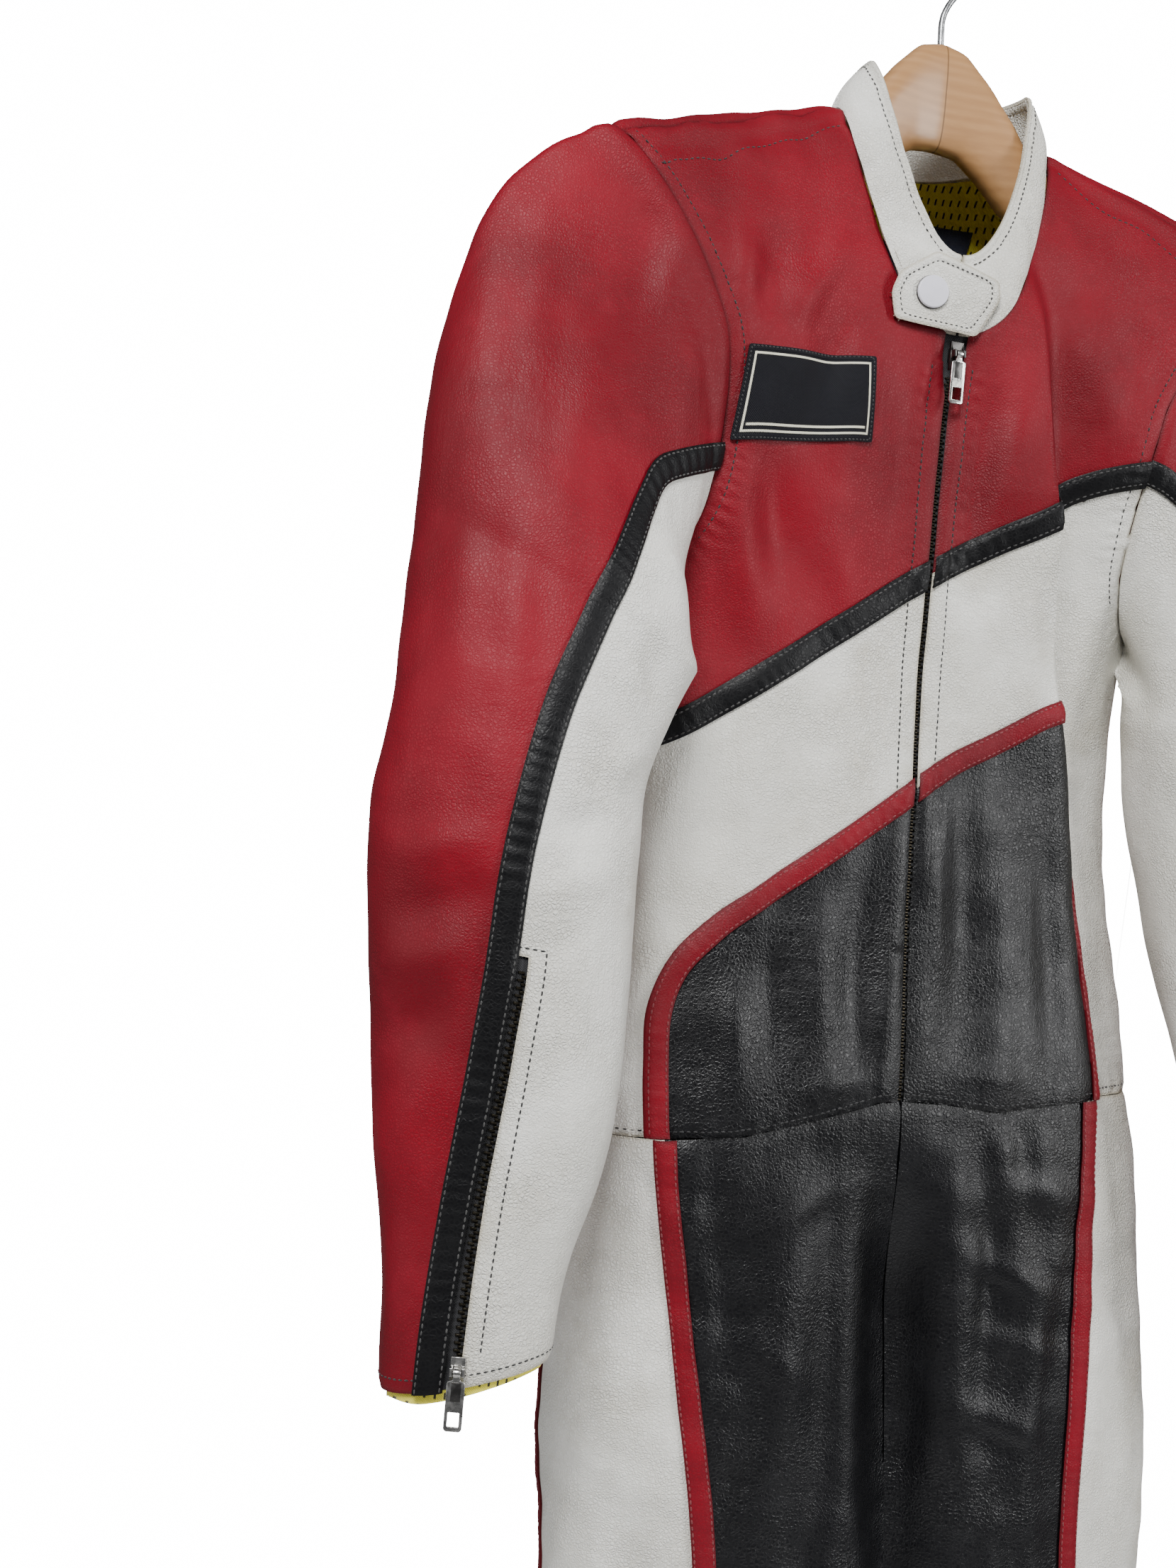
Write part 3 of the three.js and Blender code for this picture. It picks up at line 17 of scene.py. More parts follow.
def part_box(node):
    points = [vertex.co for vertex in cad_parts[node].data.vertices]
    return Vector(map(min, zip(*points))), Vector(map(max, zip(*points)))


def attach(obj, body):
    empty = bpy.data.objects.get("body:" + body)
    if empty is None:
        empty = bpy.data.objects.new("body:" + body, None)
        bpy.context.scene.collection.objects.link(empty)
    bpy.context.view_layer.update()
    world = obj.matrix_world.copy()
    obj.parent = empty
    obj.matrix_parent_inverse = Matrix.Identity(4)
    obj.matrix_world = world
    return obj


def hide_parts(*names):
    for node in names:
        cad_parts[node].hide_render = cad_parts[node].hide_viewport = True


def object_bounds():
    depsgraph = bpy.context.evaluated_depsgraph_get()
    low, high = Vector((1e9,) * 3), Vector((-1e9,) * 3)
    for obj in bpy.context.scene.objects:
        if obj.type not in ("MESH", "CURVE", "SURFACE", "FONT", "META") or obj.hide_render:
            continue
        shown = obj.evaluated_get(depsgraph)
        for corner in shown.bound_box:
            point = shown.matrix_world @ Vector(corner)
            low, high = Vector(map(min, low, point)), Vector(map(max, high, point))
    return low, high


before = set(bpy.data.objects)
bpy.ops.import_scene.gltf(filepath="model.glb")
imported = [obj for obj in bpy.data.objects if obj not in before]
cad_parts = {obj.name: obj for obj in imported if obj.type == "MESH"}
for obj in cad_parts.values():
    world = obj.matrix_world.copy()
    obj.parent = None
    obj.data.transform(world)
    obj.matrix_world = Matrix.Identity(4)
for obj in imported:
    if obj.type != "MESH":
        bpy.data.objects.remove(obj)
cad_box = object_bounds()

# Driving sizes
NECK_DROP = 118.0  # the neck point lies this far under the hook's seat
HIDE = 1.4
STRIPE_BLACK = 14.0
STRIPE_RED = 12.0
BAND_RISE = 1.5  # how far a band's underside lies off the hide's own surface
ROW_INSET = 2.0  # a band's rows of stitches run this far inside its edges
CELL = 3.4  # how far apart the points of the cloth lie where the photograph shows it
STITCH = 3.3  # from one stitch to the next
STITCH_GAP = 0.012
ARMPIT_SPLIT = -215.0  # the armhole follows its front line in front of the shoulder seam down to this level
SEAM_MEETING = -195.0  # here the shoulder seam turns into the side seam
ARMPIT_Z = -261.0
CROTCH_Z = -800.0
BACK_SEAM_Z = -332.0
REAR_STRIPE_Y = 24.0
CUFF_TOP = -452.0
CUFF_SHIFT = 10.8

# The camera, found from the photograph's perspective
CAMERA_PLACE = Vector((-0.462, -0.8715, -0.5005))
CAMERA_YAW, CAMERA_PITCH, CAMERA_ROLL = 18.74, -0.67, 5.04
CAMERA_LENS = 40.84


def table(text):
    """Rows of numbers, one row a line."""
    return np.array([[float(v) for v in line.split()] for line in text.strip().splitlines()])


# Rings of the body from the neckline to the crotch
BODY_COLUMNS = (
    "right left front back z_side z_front z_back square_right square_left sweep left_back centre"
).split()
BODY = table("""
64 64 -46 52 0 -118 -8 1 1 36 0 0
84 84 -44 55 -6 -126 -20 1 1 36 0 0
125 125 -42 58 -20 -142 -46 1 1 36 0 0
168 168 -40 60 -35 -160 -80 .95 1 36 0 0
200 200 -39 60 -48 -180 -115 .9 1 36 0 0
204 204 -38 60 -82 -200 -150 .88 1 34 4 0
188 190 -38 62 -165 -225 -200 .85 1.05 24 16 0
164 166 -39 64 -258 -258 -258 .82 1.1 12 30 0
154 162 -41 64 -340 -340 -340 .8 1.1 5 32 0
153 166 -46 62 -430 -430 -430 .78 .95 0 18 0
160 172 -57 60 -525 -525 -525 .76 .8 0 4 0
172 177 -64 68 -650 -650 -650 .76 .76 0 0 12
171 176 -70 76 -800 -800 -800 .78 .78 0 0 22
""")

# The upright fold on the wearer's left of the zip: z, x, how far it stands forward, how far it drops behind
FOLD = table("""
-60 34 0 0
-100 45 8 6
-198 62 18 26
-312 87 17 22
-402 104 11 10
-515 119 6 3
-620 118 4 2
-800 112 0 0
""")
VALLEY_DEPTH, VALLEY_HALF, VALLEY_TOP, VALLEY_FULL = 26.0, 20.0, 525.0, 640.0

LEG_COLUMNS = "z middle half front back shift oval".split()
LEG = table("""
-800 88 88 70 76 0 0
-880 90 88 68 72 -2 .5
-980 92 85 66 68 -6 1
-1160 96 75 58 60 -14 1
-1350 100 68 52 58 -6 1
-1530 104 54 42 46 2 1
""")

SLEEVE_COLUMNS = "z x y half depth turn tilt".split()
SLEEVE_RIGHT = table("""
-280 -209 -52 71 50 16 -34
-310 -216 -58 66 50 16 -26
-355 -224 -64 61 48 16 -15
-400 -228 -68 64 46 16 -6
-460 -226 -72 62 43 16 0
-540 -224 -76 55 38 16 2
-600 -228 -80 43 32 16 5
-646 -230 -84 39 27 16 9
""")
SLEEVE_LEFT = table("""
-280 215 -12 68 48 -16 -34
-310 217 -13 68 48 -16 -26
-355 219 -15 66 47 -16 -15
-400 220 -28 64 45 -16 -6
-460 221 -48 62 43 -16 0
-540 228 -72 56 38 -16 2
-600 235 -88 47 32 -16 5
-646 240 -98 41 27 -16 9
""")

# Seam lines as x, z seen from the front
ARMHOLE_FRONT = table("""
197 -47
186 -55
169 -73
152 -97
140 -119
131 -140
128 -160
127 -182
128 -206
133 -230
144 -250
160 -261
""")
ARMHOLE_BACK = table("""
188 -64
177 -92
168 -124
162 -160
159 -196
158 -228
160 -252
""")
BLACK_LINE = table("""
-190 -368
-152 -348
-126 -334
-86 -306
-44 -276
-10 -252
34 -225
64 -208
88 -188
122 -176
150 -172
""")
RED_LINE = table("""
-125 -560
-128 -542
-130 -511
-130 -484
-122 -460
-105 -440
-77 -418
-24 -378
19 -346
50 -329
78 -313
96 -309
107 -322
112 -347
117 -389
122 -453
126 -516
125 -540
""")
WAIST_LINE = table("""
-260 -550
-160 -547
-126 -546
-85 -542
-31 -528
-7 -521
21 -522
60 -525
118 -518
260 -517
""")
LEG_LINE_RIGHT = table("""
-126 -500
-124 -552
-107 -655
-90 -753
-84 -850
-90 -950
-104 -1160
-108 -1350
-104 -1560
""")
LEG_LINE_LEFT = table("""
119 -480
117 -577
118 -681
119 -748
124 -850
132 -950
148 -1160
155 -1350
150 -1560
""")
SLEEVE_LINE_RIGHT = table("""
-112 -196
-155 -213
-169 -221
-178 -238
-191 -267
-207 -302
-221 -339
-234 -401
-238 -458
-243 -518
-247 -560
-250 -606
-252 -680
""")
SLEEVE_LINE_LEFT = table("""
112 -170
134 -176
152 -188
170 -214
186 -252
200 -300
213 -350
226 -410
234 -460
246 -540
256 -600
262 -680
""")
SHOULDER_SEAM = table("""
-260 -58
-200 -44
-125 -28
-64 -14
64 -14
125 -28
200 -44
260 -58
""")
# The left side seam as y, z
SIDE_SEAM_LEFT = table("""
10 -190
10 -215
40 -258
40 -340
28 -430
12 -525
10 -700
""")
SIDE_SEAM_RIGHT_Y = 10.0
# Half the zip's gap by height
ZIP_SLOT = table("""
-100 6.5
-130 6
-141 4.5
-152 1.5
-560 1.5
""")
COLLAR_HALF, COLLAR_CENTRE, COLLAR_FRONT, COLLAR_BACK = 48.0, 4.0, -37.0, 45.0
COLLAR_SIDE_Z, COLLAR_FRONT_Z, COLLAR_BACK_Z = 31.0, -74.0, 32.0
COLLAR_THICK = 2.6
TAB_OUTLINE = table("""
-37 -117
-40 -103
-36 -92
-17 -79
19 -90
20 -100
8 -121
""")
NECK_LABEL = table("""
4 -28
54 -31
50 -76
0 -73
""")
SMALL_LABEL = table("""
5 -14
19 -14
19 -27
5 -27
""")
PATCH_OUTLINE = table("""
-120 -146
-46 -139
-44 -183
-124 -194
""")


# Interpolation


def row_at(rows, place):
    """Catmull-Rom through the rows of a table, at each of several places."""
    last = len(rows) - 1
    at = np.clip(np.asarray(place, float), 0, last)
    i = np.minimum(np.floor(at).astype(int), last - 1)
    f = (at - i)[..., None]
    a, b, c, d = (rows[k] for k in (np.maximum(i - 1, 0), i, i + 1, np.minimum(i + 2, last)))
    return 0.5 * (2 * b + (c - a) * f + (2 * a - 5 * b + 4 * c - d) * f**2 + (3 * b - a - 3 * c + d) * f**3)


def named(columns, rows, place):
    return dict(zip(columns, np.moveaxis(row_at(rows, place), -1, 0)))


def down(rows, z, column):
    """Straight interpolation by height in a table whose first column is a falling z."""
    return np.interp(-np.asarray(z), -rows[:, 0], rows[:, column])


def x_at(line, z):
    return np.interp(-np.asarray(z), -line[:, 1], line[:, 0])


def smooth_line(points, spans, closed=False):
    """A centripetal Catmull-Rom curve through points, with this many spans between two of them."""
    points = np.asarray(points, float)
    if closed:
        points = np.vstack([points[-1:], points, points[:2]])
    else:
        points = np.vstack([2 * points[0] - points[1], points, 2 * points[-1] - points[-2]])
    made = []
    t = np.linspace(0, 1, spans, endpoint=False)[:, None]
    for a, b, c, d in zip(points, points[1:], points[2:], points[3:]):
        ab, bc, cd = (max(math.sqrt(np.linalg.norm(q - p)), 1e-4) for p, q in ((a, b), (b, c), (c, d)))
        start = ((b - a) / ab - (c - a) / (ab + bc) + (c - b) / bc) * bc
        end = ((c - b) / bc - (d - b) / (bc + cd) + (d - c) / cd) * bc
        square = (3 * (c - b) - 2 * start - end) * t**2
        made.append(b + start * t + square + (2 * (b - c) + start + end) * t**3)
    if not closed:
        made.append(points[-2:-1])
    return np.vstack(made)


def run_of(line):
    """How far along a line each of its points lies."""
    return np.concatenate([[0], np.cumsum(np.linalg.norm(np.diff(line, axis=0), axis=1))])


def evenly(line, step):
    """The line again with points this far apart."""
    run = run_of(line)
    at = np.linspace(0, run[-1], max(2, int(run[-1] / step) + 1))
    return np.stack([np.interp(at, run, line[:, k]) for k in range(line.shape[1])], axis=1)


def from_line(line, x, z):
    """Distance from a line seen from the front, positive left of its way, and the length run along it."""
    best = np.full(x.shape, np.inf)
    signed = np.zeros(x.shape)
    along = np.zeros(x.shape)
    for run, (ax, az), (bx, bz) in zip(run_of(line), line, line[1:]):
        dx, dz = bx - ax, bz - az
        long = math.hypot(dx, dz)
        t = np.clip(((x - ax) * dx + (z - az) * dz) / long**2, 0, 1)
        away = np.hypot(ax + t * dx - x, az + t * dz - z)
        near = away < best
        best = np.where(near, away, best)
        signed = np.where(near, np.where(dx * (z - az) > dz * (x - ax), away, -away), signed)
        along = np.where(near, run + t * long, along)
    return signed, along


def offset_line(line, shift):
    """A line moved to the left of its way."""
    way = np.gradient(line, axis=0)
    way /= np.linalg.norm(way, axis=1)[:, None]
    return line + shift * np.stack([-way[:, 1], way[:, 0]], axis=1)


def share_where(low, high, is_past):
    """For each row the first share at which a test turns true."""
    low, high = np.array(low, float), np.array(high, float)
    for _ in range(26):
        mid = (low + high) / 2
        past = is_past(mid)
        high, low = np.where(past, mid, high), np.where(past, low, mid)
    return (low + high) / 2


def ease(value, low, high):
    t = np.clip((value - low) / (high - low), 0, 1)
    return t * t * (3 - 2 * t)


def soft_power(value, power):
    return np.sign(value) * np.abs(value) ** power


# The suit's surfaces


def fold_depth(x, z):
    away = x - down(FOLD, z, 1)
    forward, drop = down(FOLD, z, 2), down(FOLD, z, 3)
    edge = np.exp(-((away / 10) ** 2))
    behind = -forward * edge + drop * (1 - edge) * np.exp(-((away / 45) ** 2))
    return np.where(away < 0, -forward * np.exp(-((away / 38) ** 2)), behind)


def valley_depth(x, z):
    return VALLEY_DEPTH * np.exp(-((x / VALLEY_HALF) ** 2)) * ease(-z, VALLEY_TOP, VALLEY_FULL)


def body_point(turn, place):
    """turn: 0 at the front centre, 0.25 on the wearer's left, 0.5 at the back, 0.75 on the right."""
    ring = named(BODY_COLUMNS, BODY, place)
    side, face = np.sin(2 * np.pi * turn), np.cos(2 * np.pi * turn)
    is_left, is_front = side > 0, face > 0
    square = np.where(is_left & is_front, ring["square_left"], ring["square_right"])
    middle = np.where(is_front, 1 - np.abs(side) ** 2.5, face**2)
    z = ring["z_side"] * (1 - middle) + np.where(is_front, ring["z_front"], ring["z_back"]) * middle
    x = np.where(is_left, ring["left"], ring["right"]) * soft_power(side, square)
    y = np.where(is_front, ring["front"], ring["back"]) * np.abs(face) ** square
    y -= ring["sweep"] * (np.hypot(x, 40) - 40) / 164
    y += np.where(is_left, ring["left_back"] * side**2, 0)
    y += np.where(is_front, (fold_depth(x, z) + valley_depth(x, z)) * np.minimum(face * 3, 1), 0)
    return np.stack([x + ring["centre"], y, z], axis=-1)


BODY_PLACES = np.linspace(0, len(BODY) - 1, 2401)
BODY_SIDE_Z = row_at(BODY, BODY_PLACES)[:, 4]


def body_place(z):
    return np.interp(-np.asarray(z), -BODY_SIDE_Z, BODY_PLACES)


def on_body(x, z, is_front):
    """The point of the body's front or back that is seen at x, z from the front."""
    low, high = (-0.25, 0.25) if is_front else (0.25, 0.75)
    turns, places = np.meshgrid(np.linspace(low, high, 121), np.linspace(0, 12, 193))
    grid = body_point(turns, places)
    near = np.argmin(np.hypot(grid[..., 0] - x, grid[..., 2] - z))
    turn, place = turns.flat[near], places.flat[near]
    for _ in range(8):
        p = body_point(turn, place)
        a = (body_point(turn + 1e-4, place) - p) / 1e-4
        b = (body_point(turn, place + 1e-3) - p) / 1e-3
        det = a[0] * b[2] - a[2] * b[0]
        if abs(det) < 1e-6:
            break
        turn += np.clip(((x - p[0]) * b[2] - (z - p[2]) * b[0]) / det, -0.01, 0.01)
        place += np.clip((a[0] * (z - p[2]) - a[2] * (x - p[0])) / det, -0.3, 0.3)
    return body_point(turn, place)


def pants_point(side, z, share, is_inner):
    """share: 0 at the front to 1 at the back round the outside, or back to front along the inner wall."""
    corner = math.radians(55)
    leg = named(LEG_COLUMNS, LEG, np.interp(-z, -LEG[:, 0], np.arange(len(LEG))))
    place = body_place(np.maximum(z, CROTCH_Z))
    centre = row_at(BODY, place)[..., -1]
    inner_x = centre + side * 0.2

    def hip_at(s):
        p = body_point(s / 2 if side > 0 else 1 - s / 2, place)
        outside = (side * (p[..., 0] - inner_x) < 0) | (s <= 0) | (s >= 1)
        p[..., 0] = np.where(outside, inner_x, p[..., 0])
        p[..., 2] = z
        return p

    if is_inner:
        f = share[..., None]
        hip = hip_at(np.ones_like(share)) * (1 - f) + hip_at(np.zeros_like(share)) * f
        low, high = 2 * math.pi - corner, 2 * math.pi + corner
    else:
        hip = hip_at(share)
        low, high = corner, 2 * math.pi - corner
    angle = low + (high - low) * share
    depth = np.where(np.sin(angle) < 0, leg["back"], leg["front"])
    x = centre + side * (leg["middle"] - np.cos(angle) * leg["half"])
    circle = np.stack([x, leg["shift"] - np.sin(angle) * depth, z + 0 * angle], axis=-1)
    oval = np.where(z > CROTCH_Z, 0, ease(leg["oval"], 0, 1))[..., None]
    return hip * (1 - oval) + circle * oval


def sleeve_ring(rows, place, side, angle):
    """angle: 0 at the outer side, a quarter turn at the front, half a turn beside the body."""
    ring = named(SLEEVE_COLUMNS, rows, place)
    turn = np.radians(ring["turn"])
    out = side * np.cos(angle) * ring["half"]
    forth = -np.sin(angle) * ring["depth"]
    x = ring["x"] + out * np.cos(turn) + forth * np.sin(turn)
    y = ring["y"] - out * np.sin(turn) + forth * np.cos(turn)
    return np.stack([x, y, ring["z"] - ring["tilt"] * side * out / ring["half"]], axis=-1)


def armhole_loop(side):
    front = [on_body(side * x, z, True) for x, z in ARMHOLE_FRONT]
    back = [on_body(side * x, z, False) for x, z in ARMHOLE_BACK[::-1]]
    loop = smooth_line(front + back, 24, closed=True)
    return np.vstack([loop, loop[:1]])


def cap_point(loop, rows, side, angle, along):
    """A point of the sleeve's cap, from the armhole seam at 0 to the sleeve's first ring at 1."""
    run = run_of(loop)
    turns = np.mod(angle / (2 * np.pi), 1) * run[-1]
    start = np.stack([np.interp(turns, run, loop[:, k]) for k in range(3)], axis=-1)
    end = sleeve_ring(rows, 0 * angle, side, angle)
    outer = ((1 + np.cos(angle)) / 2)[..., None]
    under = (end - start) * 0.35 + np.array([0, 0, -6])
    over = np.array([side * 68, 0, -21])
    first = start + under * (1 - outer) + over * outer
    second = end + np.array([0, 0, 1]) * (14 + 86 * outer)
    t = along[..., None]
    return (1 - t) ** 3 * start + 3 * (1 - t) ** 2 * t * first + 3 * (1 - t) * t**2 * second + t**3 * end


def collar_point(turn, up):
    """up: 0 at the neckline, 1 at the upper edge."""
    base = body_point(turn, 0 * turn)
    sine, cosine = np.sin(2 * np.pi * turn), np.cos(2 * np.pi * turn)
    reach = np.where(cosine > 0, COLLAR_FRONT, COLLAR_BACK) + 6
    level = np.where(cosine > 0, COLLAR_FRONT_Z, COLLAR_BACK_Z) - COLLAR_SIDE_Z
    middle = np.where(cosine > 0, 1 - np.abs(sine) ** 2.2, cosine**2)
    top = np.stack([
        COLLAR_CENTRE + COLLAR_HALF * sine,
        -6 + reach * np.abs(cosine),
        COLLAR_SIDE_Z + level * middle,
    ], axis=-1)
    u = up[..., None]
    outward = np.stack([sine, -cosine, 0 * sine], axis=-1)
    return base * (1 - u) + top * u + outward * 3 * np.sin(np.pi * u)


# Cloth: points, the direction out of it at each point, and triangles


class Cloth:
    def __init__(self, points, normals, faces):
        self.points, self.normals, self.faces = points, normals, faces

    def sides(self):
        """The two points of each triangle's sides, lower number first."""
        pairs = np.stack([self.faces, np.roll(self.faces, -1, axis=1)], axis=2)
        return np.sort(pairs.reshape(-1, 2), axis=1)

    def moved(self, by):
        """Moved out by one distance, or by one for each point."""
        by = np.broadcast_to(np.asarray(by, float), len(self.points))
        return Cloth(self.points + self.normals * by[:, None], self.normals, self.faces)

    def cut(self, value):
        """The part where value, one number a point, isn't negative."""
        inside = value >= 0
        count = inside[self.faces].sum(axis=1)
        edges = self.sides()
        crossing = inside[edges[:, 0]] != inside[edges[:, 1]]
        split, back = np.unique(edges[crossing], axis=0, return_inverse=True)
        a, b = split.T
        share = (value[a] / (value[a] - value[b]))[:, None]
        points = np.vstack([self.points, self.points[a] + share * (self.points[b] - self.points[a])])
        normals = np.vstack([self.normals, self.normals[a] + share * (self.normals[b] - self.normals[a])])
        made = np.full(len(edges), -1)
        made[crossing] = len(self.points) + back.reshape(-1)
        made = made.reshape(-1, 3)
        faces = [self.faces[count == 3]]
        for k in range(3):
            p, q, r = (self.faces[:, (k + n) % 3] for n in range(3))
            pq, rp = made[:, k], made[:, (k + 2) % 3]
            one = (count == 1) & inside[p]
            faces.append(np.stack([p, pq, rp], axis=1)[one])
            two = (count == 2) & ~inside[p]
            faces.append(np.stack([pq, q, r], axis=1)[two])
            faces.append(np.stack([pq, r, rp], axis=1)[two])
        return Cloth(points, unit(normals), np.vstack(faces)).packed()

    def packed(self):
        used, faces = np.unique(self.faces, return_inverse=True)
        return Cloth(self.points[used], self.normals[used], faces.reshape(-1, 3))

    def welded(self):
        """Points in the same place made one."""
        _, first, back = np.unique(np.round(self.points, 3), axis=0, return_index=True, return_inverse=True)
        return Cloth(self.points[first], self.normals[first], back.reshape(-1)[self.faces])

    def finer(self):
        """Each triangle cut into four."""
        split, back = np.unique(self.sides(), axis=0, return_inverse=True)
        mids = len(self.points) + back.reshape(-1, 3)
        points = np.vstack([self.points, self.points[split].mean(axis=1)])
        normals = np.vstack([self.normals, self.normals[split].mean(axis=1)])
        a, b, c = self.faces.T
        ab, bc, ca = mids.T
        faces = [np.stack(f, axis=1) for f in ((a, ab, ca), (ab, b, bc), (ca, bc, c), (ab, bc, ca))]
        return Cloth(points, unit(normals), np.vstack(faces))

    def area(self):
        a, b, c = (self.points[self.faces[:, k]] for k in range(3))
        return np.linalg.norm(np.cross(b - a, c - a), axis=1) / 2

    def edge_points(self):
        pairs, uses = np.unique(self.sides(), axis=0, return_counts=True)
        ends = self.points[pairs[uses == 1]]
        shares = np.linspace(0, 1, 4, endpoint=False)
        return np.vstack([ends[:, 0] * (1 - s) + ends[:, 1] * s for s in shares])

    def edge_distance(self):
        near = self.edge_points()
        tree = KDTree(len(near))
        for i, p in enumerate(near):
            tree.insert(p, i)
        tree.balance()
        return np.array([tree.find(p)[2] for p in self.points])


def unit(vectors):
    return vectors / np.maximum(np.linalg.norm(vectors, axis=-1, keepdims=True), 1e-9)


def cloth_of(grid, closed, mirrored=False):
    """Cloth through a grid whose rows run down and whose columns run to the right, or left if mirrored."""
    if closed:
        across = np.roll(grid, -1, axis=1) - np.roll(grid, 1, axis=1)
    else:
        across = np.gradient(grid, axis=1)
    normals = unit(np.cross(np.gradient(grid, axis=0), across))
    rows, columns = grid.shape[:2]
    at = np.arange(rows * columns).reshape(rows, columns)
    if closed:
        at = np.hstack([at, at[:, :1]])
    a, b, c, d = at[:-1, :-1].ravel(), at[1:, :-1].ravel(), at[1:, 1:].ravel(), at[:-1, 1:].ravel()
    faces = np.vstack([np.stack([a, b, c], axis=1), np.stack([a, c, d], axis=1)])
    if mirrored:
        normals, faces = -normals, faces[:, ::-1]
    return Cloth(grid.reshape(-1, 3), normals.reshape(-1, 3), faces)


def joined(cloths):
    start = np.cumsum([0] + [len(c.points) for c in cloths])
    return Cloth(
        np.vstack([c.points for c in cloths]),
        np.vstack([c.normals for c in cloths]),
        np.vstack([c.faces + n for c, n in zip(cloths, start)]),
    )


# Folds placed on the photograph: ends as x, z seen from the front, half width and height in mm.
# A negative height is a trough.
BODY_FOLDS = table("""
-66 -78 -92 -128 9 2.6
-58 -112 -78 -170 8 -2.0
-44 -128 -60 -200 10 1.6
-96 -70 -112 -126 10 -2.2
-126 -78 -122 -140 9 2.0
40 -130 30 -230 9 1.6
22 -150 18 -250 7 -1.4
-22 -150 -24 -250 7 -1.2
78 -90 96 -150 12 2.2
110 -80 116 -150 12 -2.2
-124 -200 -96 -290 14 2.8
-108 -190 -74 -270 13 -2.6
-60 -230 -40 -270 12 1.2
-140 -290 -120 -420 16 2.4
-112 -330 -106 -430 12 -1.6
-60 -300 -30 -380 14 1.2
20 -250 30 -330 12 1.2
60 -240 84 -310 9 -1.6
-96 -450 -90 -530 9 1.8
-76 -440 -70 -520 9 -1.6
-50 -410 -44 -525 10 1.8
-28 -400 -24 -520 8 -1.4
-8 -390 -8 -520 7 1.4
16 -370 14 -515 7 1.6
34 -350 36 -515 9 -1.6
58 -345 62 -515 10 1.8
84 -340 92 -510 9 -1.4
-12 -505 -60 -520 7 1.6
16 -505 80 -508 7 1.4
""")
LEG_FOLDS = table("""
-110 -560 -96 -700 9 1.4
-60 -560 -58 -760 12 2.4
-34 -550 -32 -760 10 -2.2
-84 -640 -40 -668 9 1.6
-30 -560 -74 -590 8 1.4
34 -550 38 -720 9 2.4
56 -550 62 -760 9 -2.6
84 -560 92 -780 11 2.6
44 -600 104 -622 7 2.0
40 -636 108 -652 7 1.8
46 -676 104 -700 8 2.0
60 -560 110 -570 7 1.5
130 -560 150 -600 9 2.0
126 -610 160 -640 9 -2.0
-150 -600 -130 -700 12 2.0
-140 -700 -120 -800 12 -2.0
-60 -1120 20 -1130 12 2.5
-120 -1150 -50 -1160 12 -2.5
60 -1130 150 -1140 12 2.5
70 -1165 150 -1175 12 -2.5
""")
SLEEVE_FOLDS = table("""
-150 -70 -166 -140 9 2.2
-172 -80 -186 -150 10 -2.0
-150 -130 -158 -205 9 1.8
-200 -150 -214 -230 14 1.6
-168 -250 -150 -300 10 3.2
-176 -300 -166 -340 9 -2.6
-180 -270 -160 -262 8 2.0
-176 -352 -196 -372 8 2.4
-190 -386 -222 -396 8 -2.2
-186 -410 -228 -424 8 2.0
-196 -440 -236 -452 8 -1.8
-250 -400 -286 -412 9 2.2
-246 -424 -284 -440 9 -2.2
-250 -450 -284 -462 9 2.0
-256 -470 -280 -500 10 -2.0
-262 -500 -276 -560 9 2.2
-200 -480 -196 -560 12 2.0
-214 -540 -206 -640 10 -1.8
-268 -580 -262 -640 9 1.6
150 -190 172 -250 10 2.0
164 -300 200 -300 8 3.0
162 -322 196 -330 8 -3.0
166 -344 204 -352 8 2.6
170 -372 210 -376 9 -2.2
176 -420 196 -470 10 2.2
190 -500 206 -560 10 -2.0
206 -560 226 -640 10 1.8
""")


# How much higher than in the tables the folds stand.
BODY_SCALE, LEG_SCALE, SLEEVE_SCALE = 1.85, 1.35, 1.3


def fold_lift(folds, points, normals):
    """How far the folds lift each point of the front."""
    lift = np.zeros(len(points))
    x, z = points[:, 0], points[:, 2]
    facing = ease(-normals[:, 1], 0.05, 0.4)
    for ax, az, bx, bz, half, height in folds:
        dx, dz = bx - ax, bz - az
        t = ((x - ax) * dx + (z - az) * dz) / (dx**2 + dz**2)
        held = np.clip(t, 0, 1)
        away = np.hypot(ax + held * dx - x, az + held * dz - z)
        taper = np.sin(np.pi * np.clip(t * 0.8 + 0.1, 0, 1)) ** 1.5
        lift += height * np.exp(-((away / half) ** 2)) * taper
    return lift * facing


def slack(points, size, height, seed):
    """A low uneven swell, as hide that isn't under tension has."""
    pick = np.random.default_rng(seed)
    lift = np.zeros(len(points))
    for _ in range(9):
        way = unit(pick.normal(size=3) * np.array([1, 1, 0.6]))
        lift += np.sin(points @ way * 2 * np.pi / (size * pick.uniform(0.7, 1.7)) + pick.uniform(0, 6.3))
    return lift * height / 3


def drape(points, size, height, seed):
    """Narrow upright swells and hollows that come and go, as in hide that hangs."""
    pick = np.random.default_rng(seed)
    where = np.clip(0.55 + slack(points, size * 4, 0.5, seed + 50), 0, 1)
    lift = np.zeros(len(points))
    for _ in range(7):
        way = unit(pick.normal(size=3) * np.array([1, 0.5, 0.25]))
        lift += np.sin(points @ way * 2 * np.pi / (size * pick.uniform(0.6, 1.6)) + pick.uniform(0, 6.3))
    return lift * where * height / 2.6


# Materials


def tree_for(name):
    material = bpy.data.materials.new(name)
    material.use_nodes = True
    nodes = material.node_tree.nodes
    nodes.clear()
    return material, nodes, material.node_tree.links


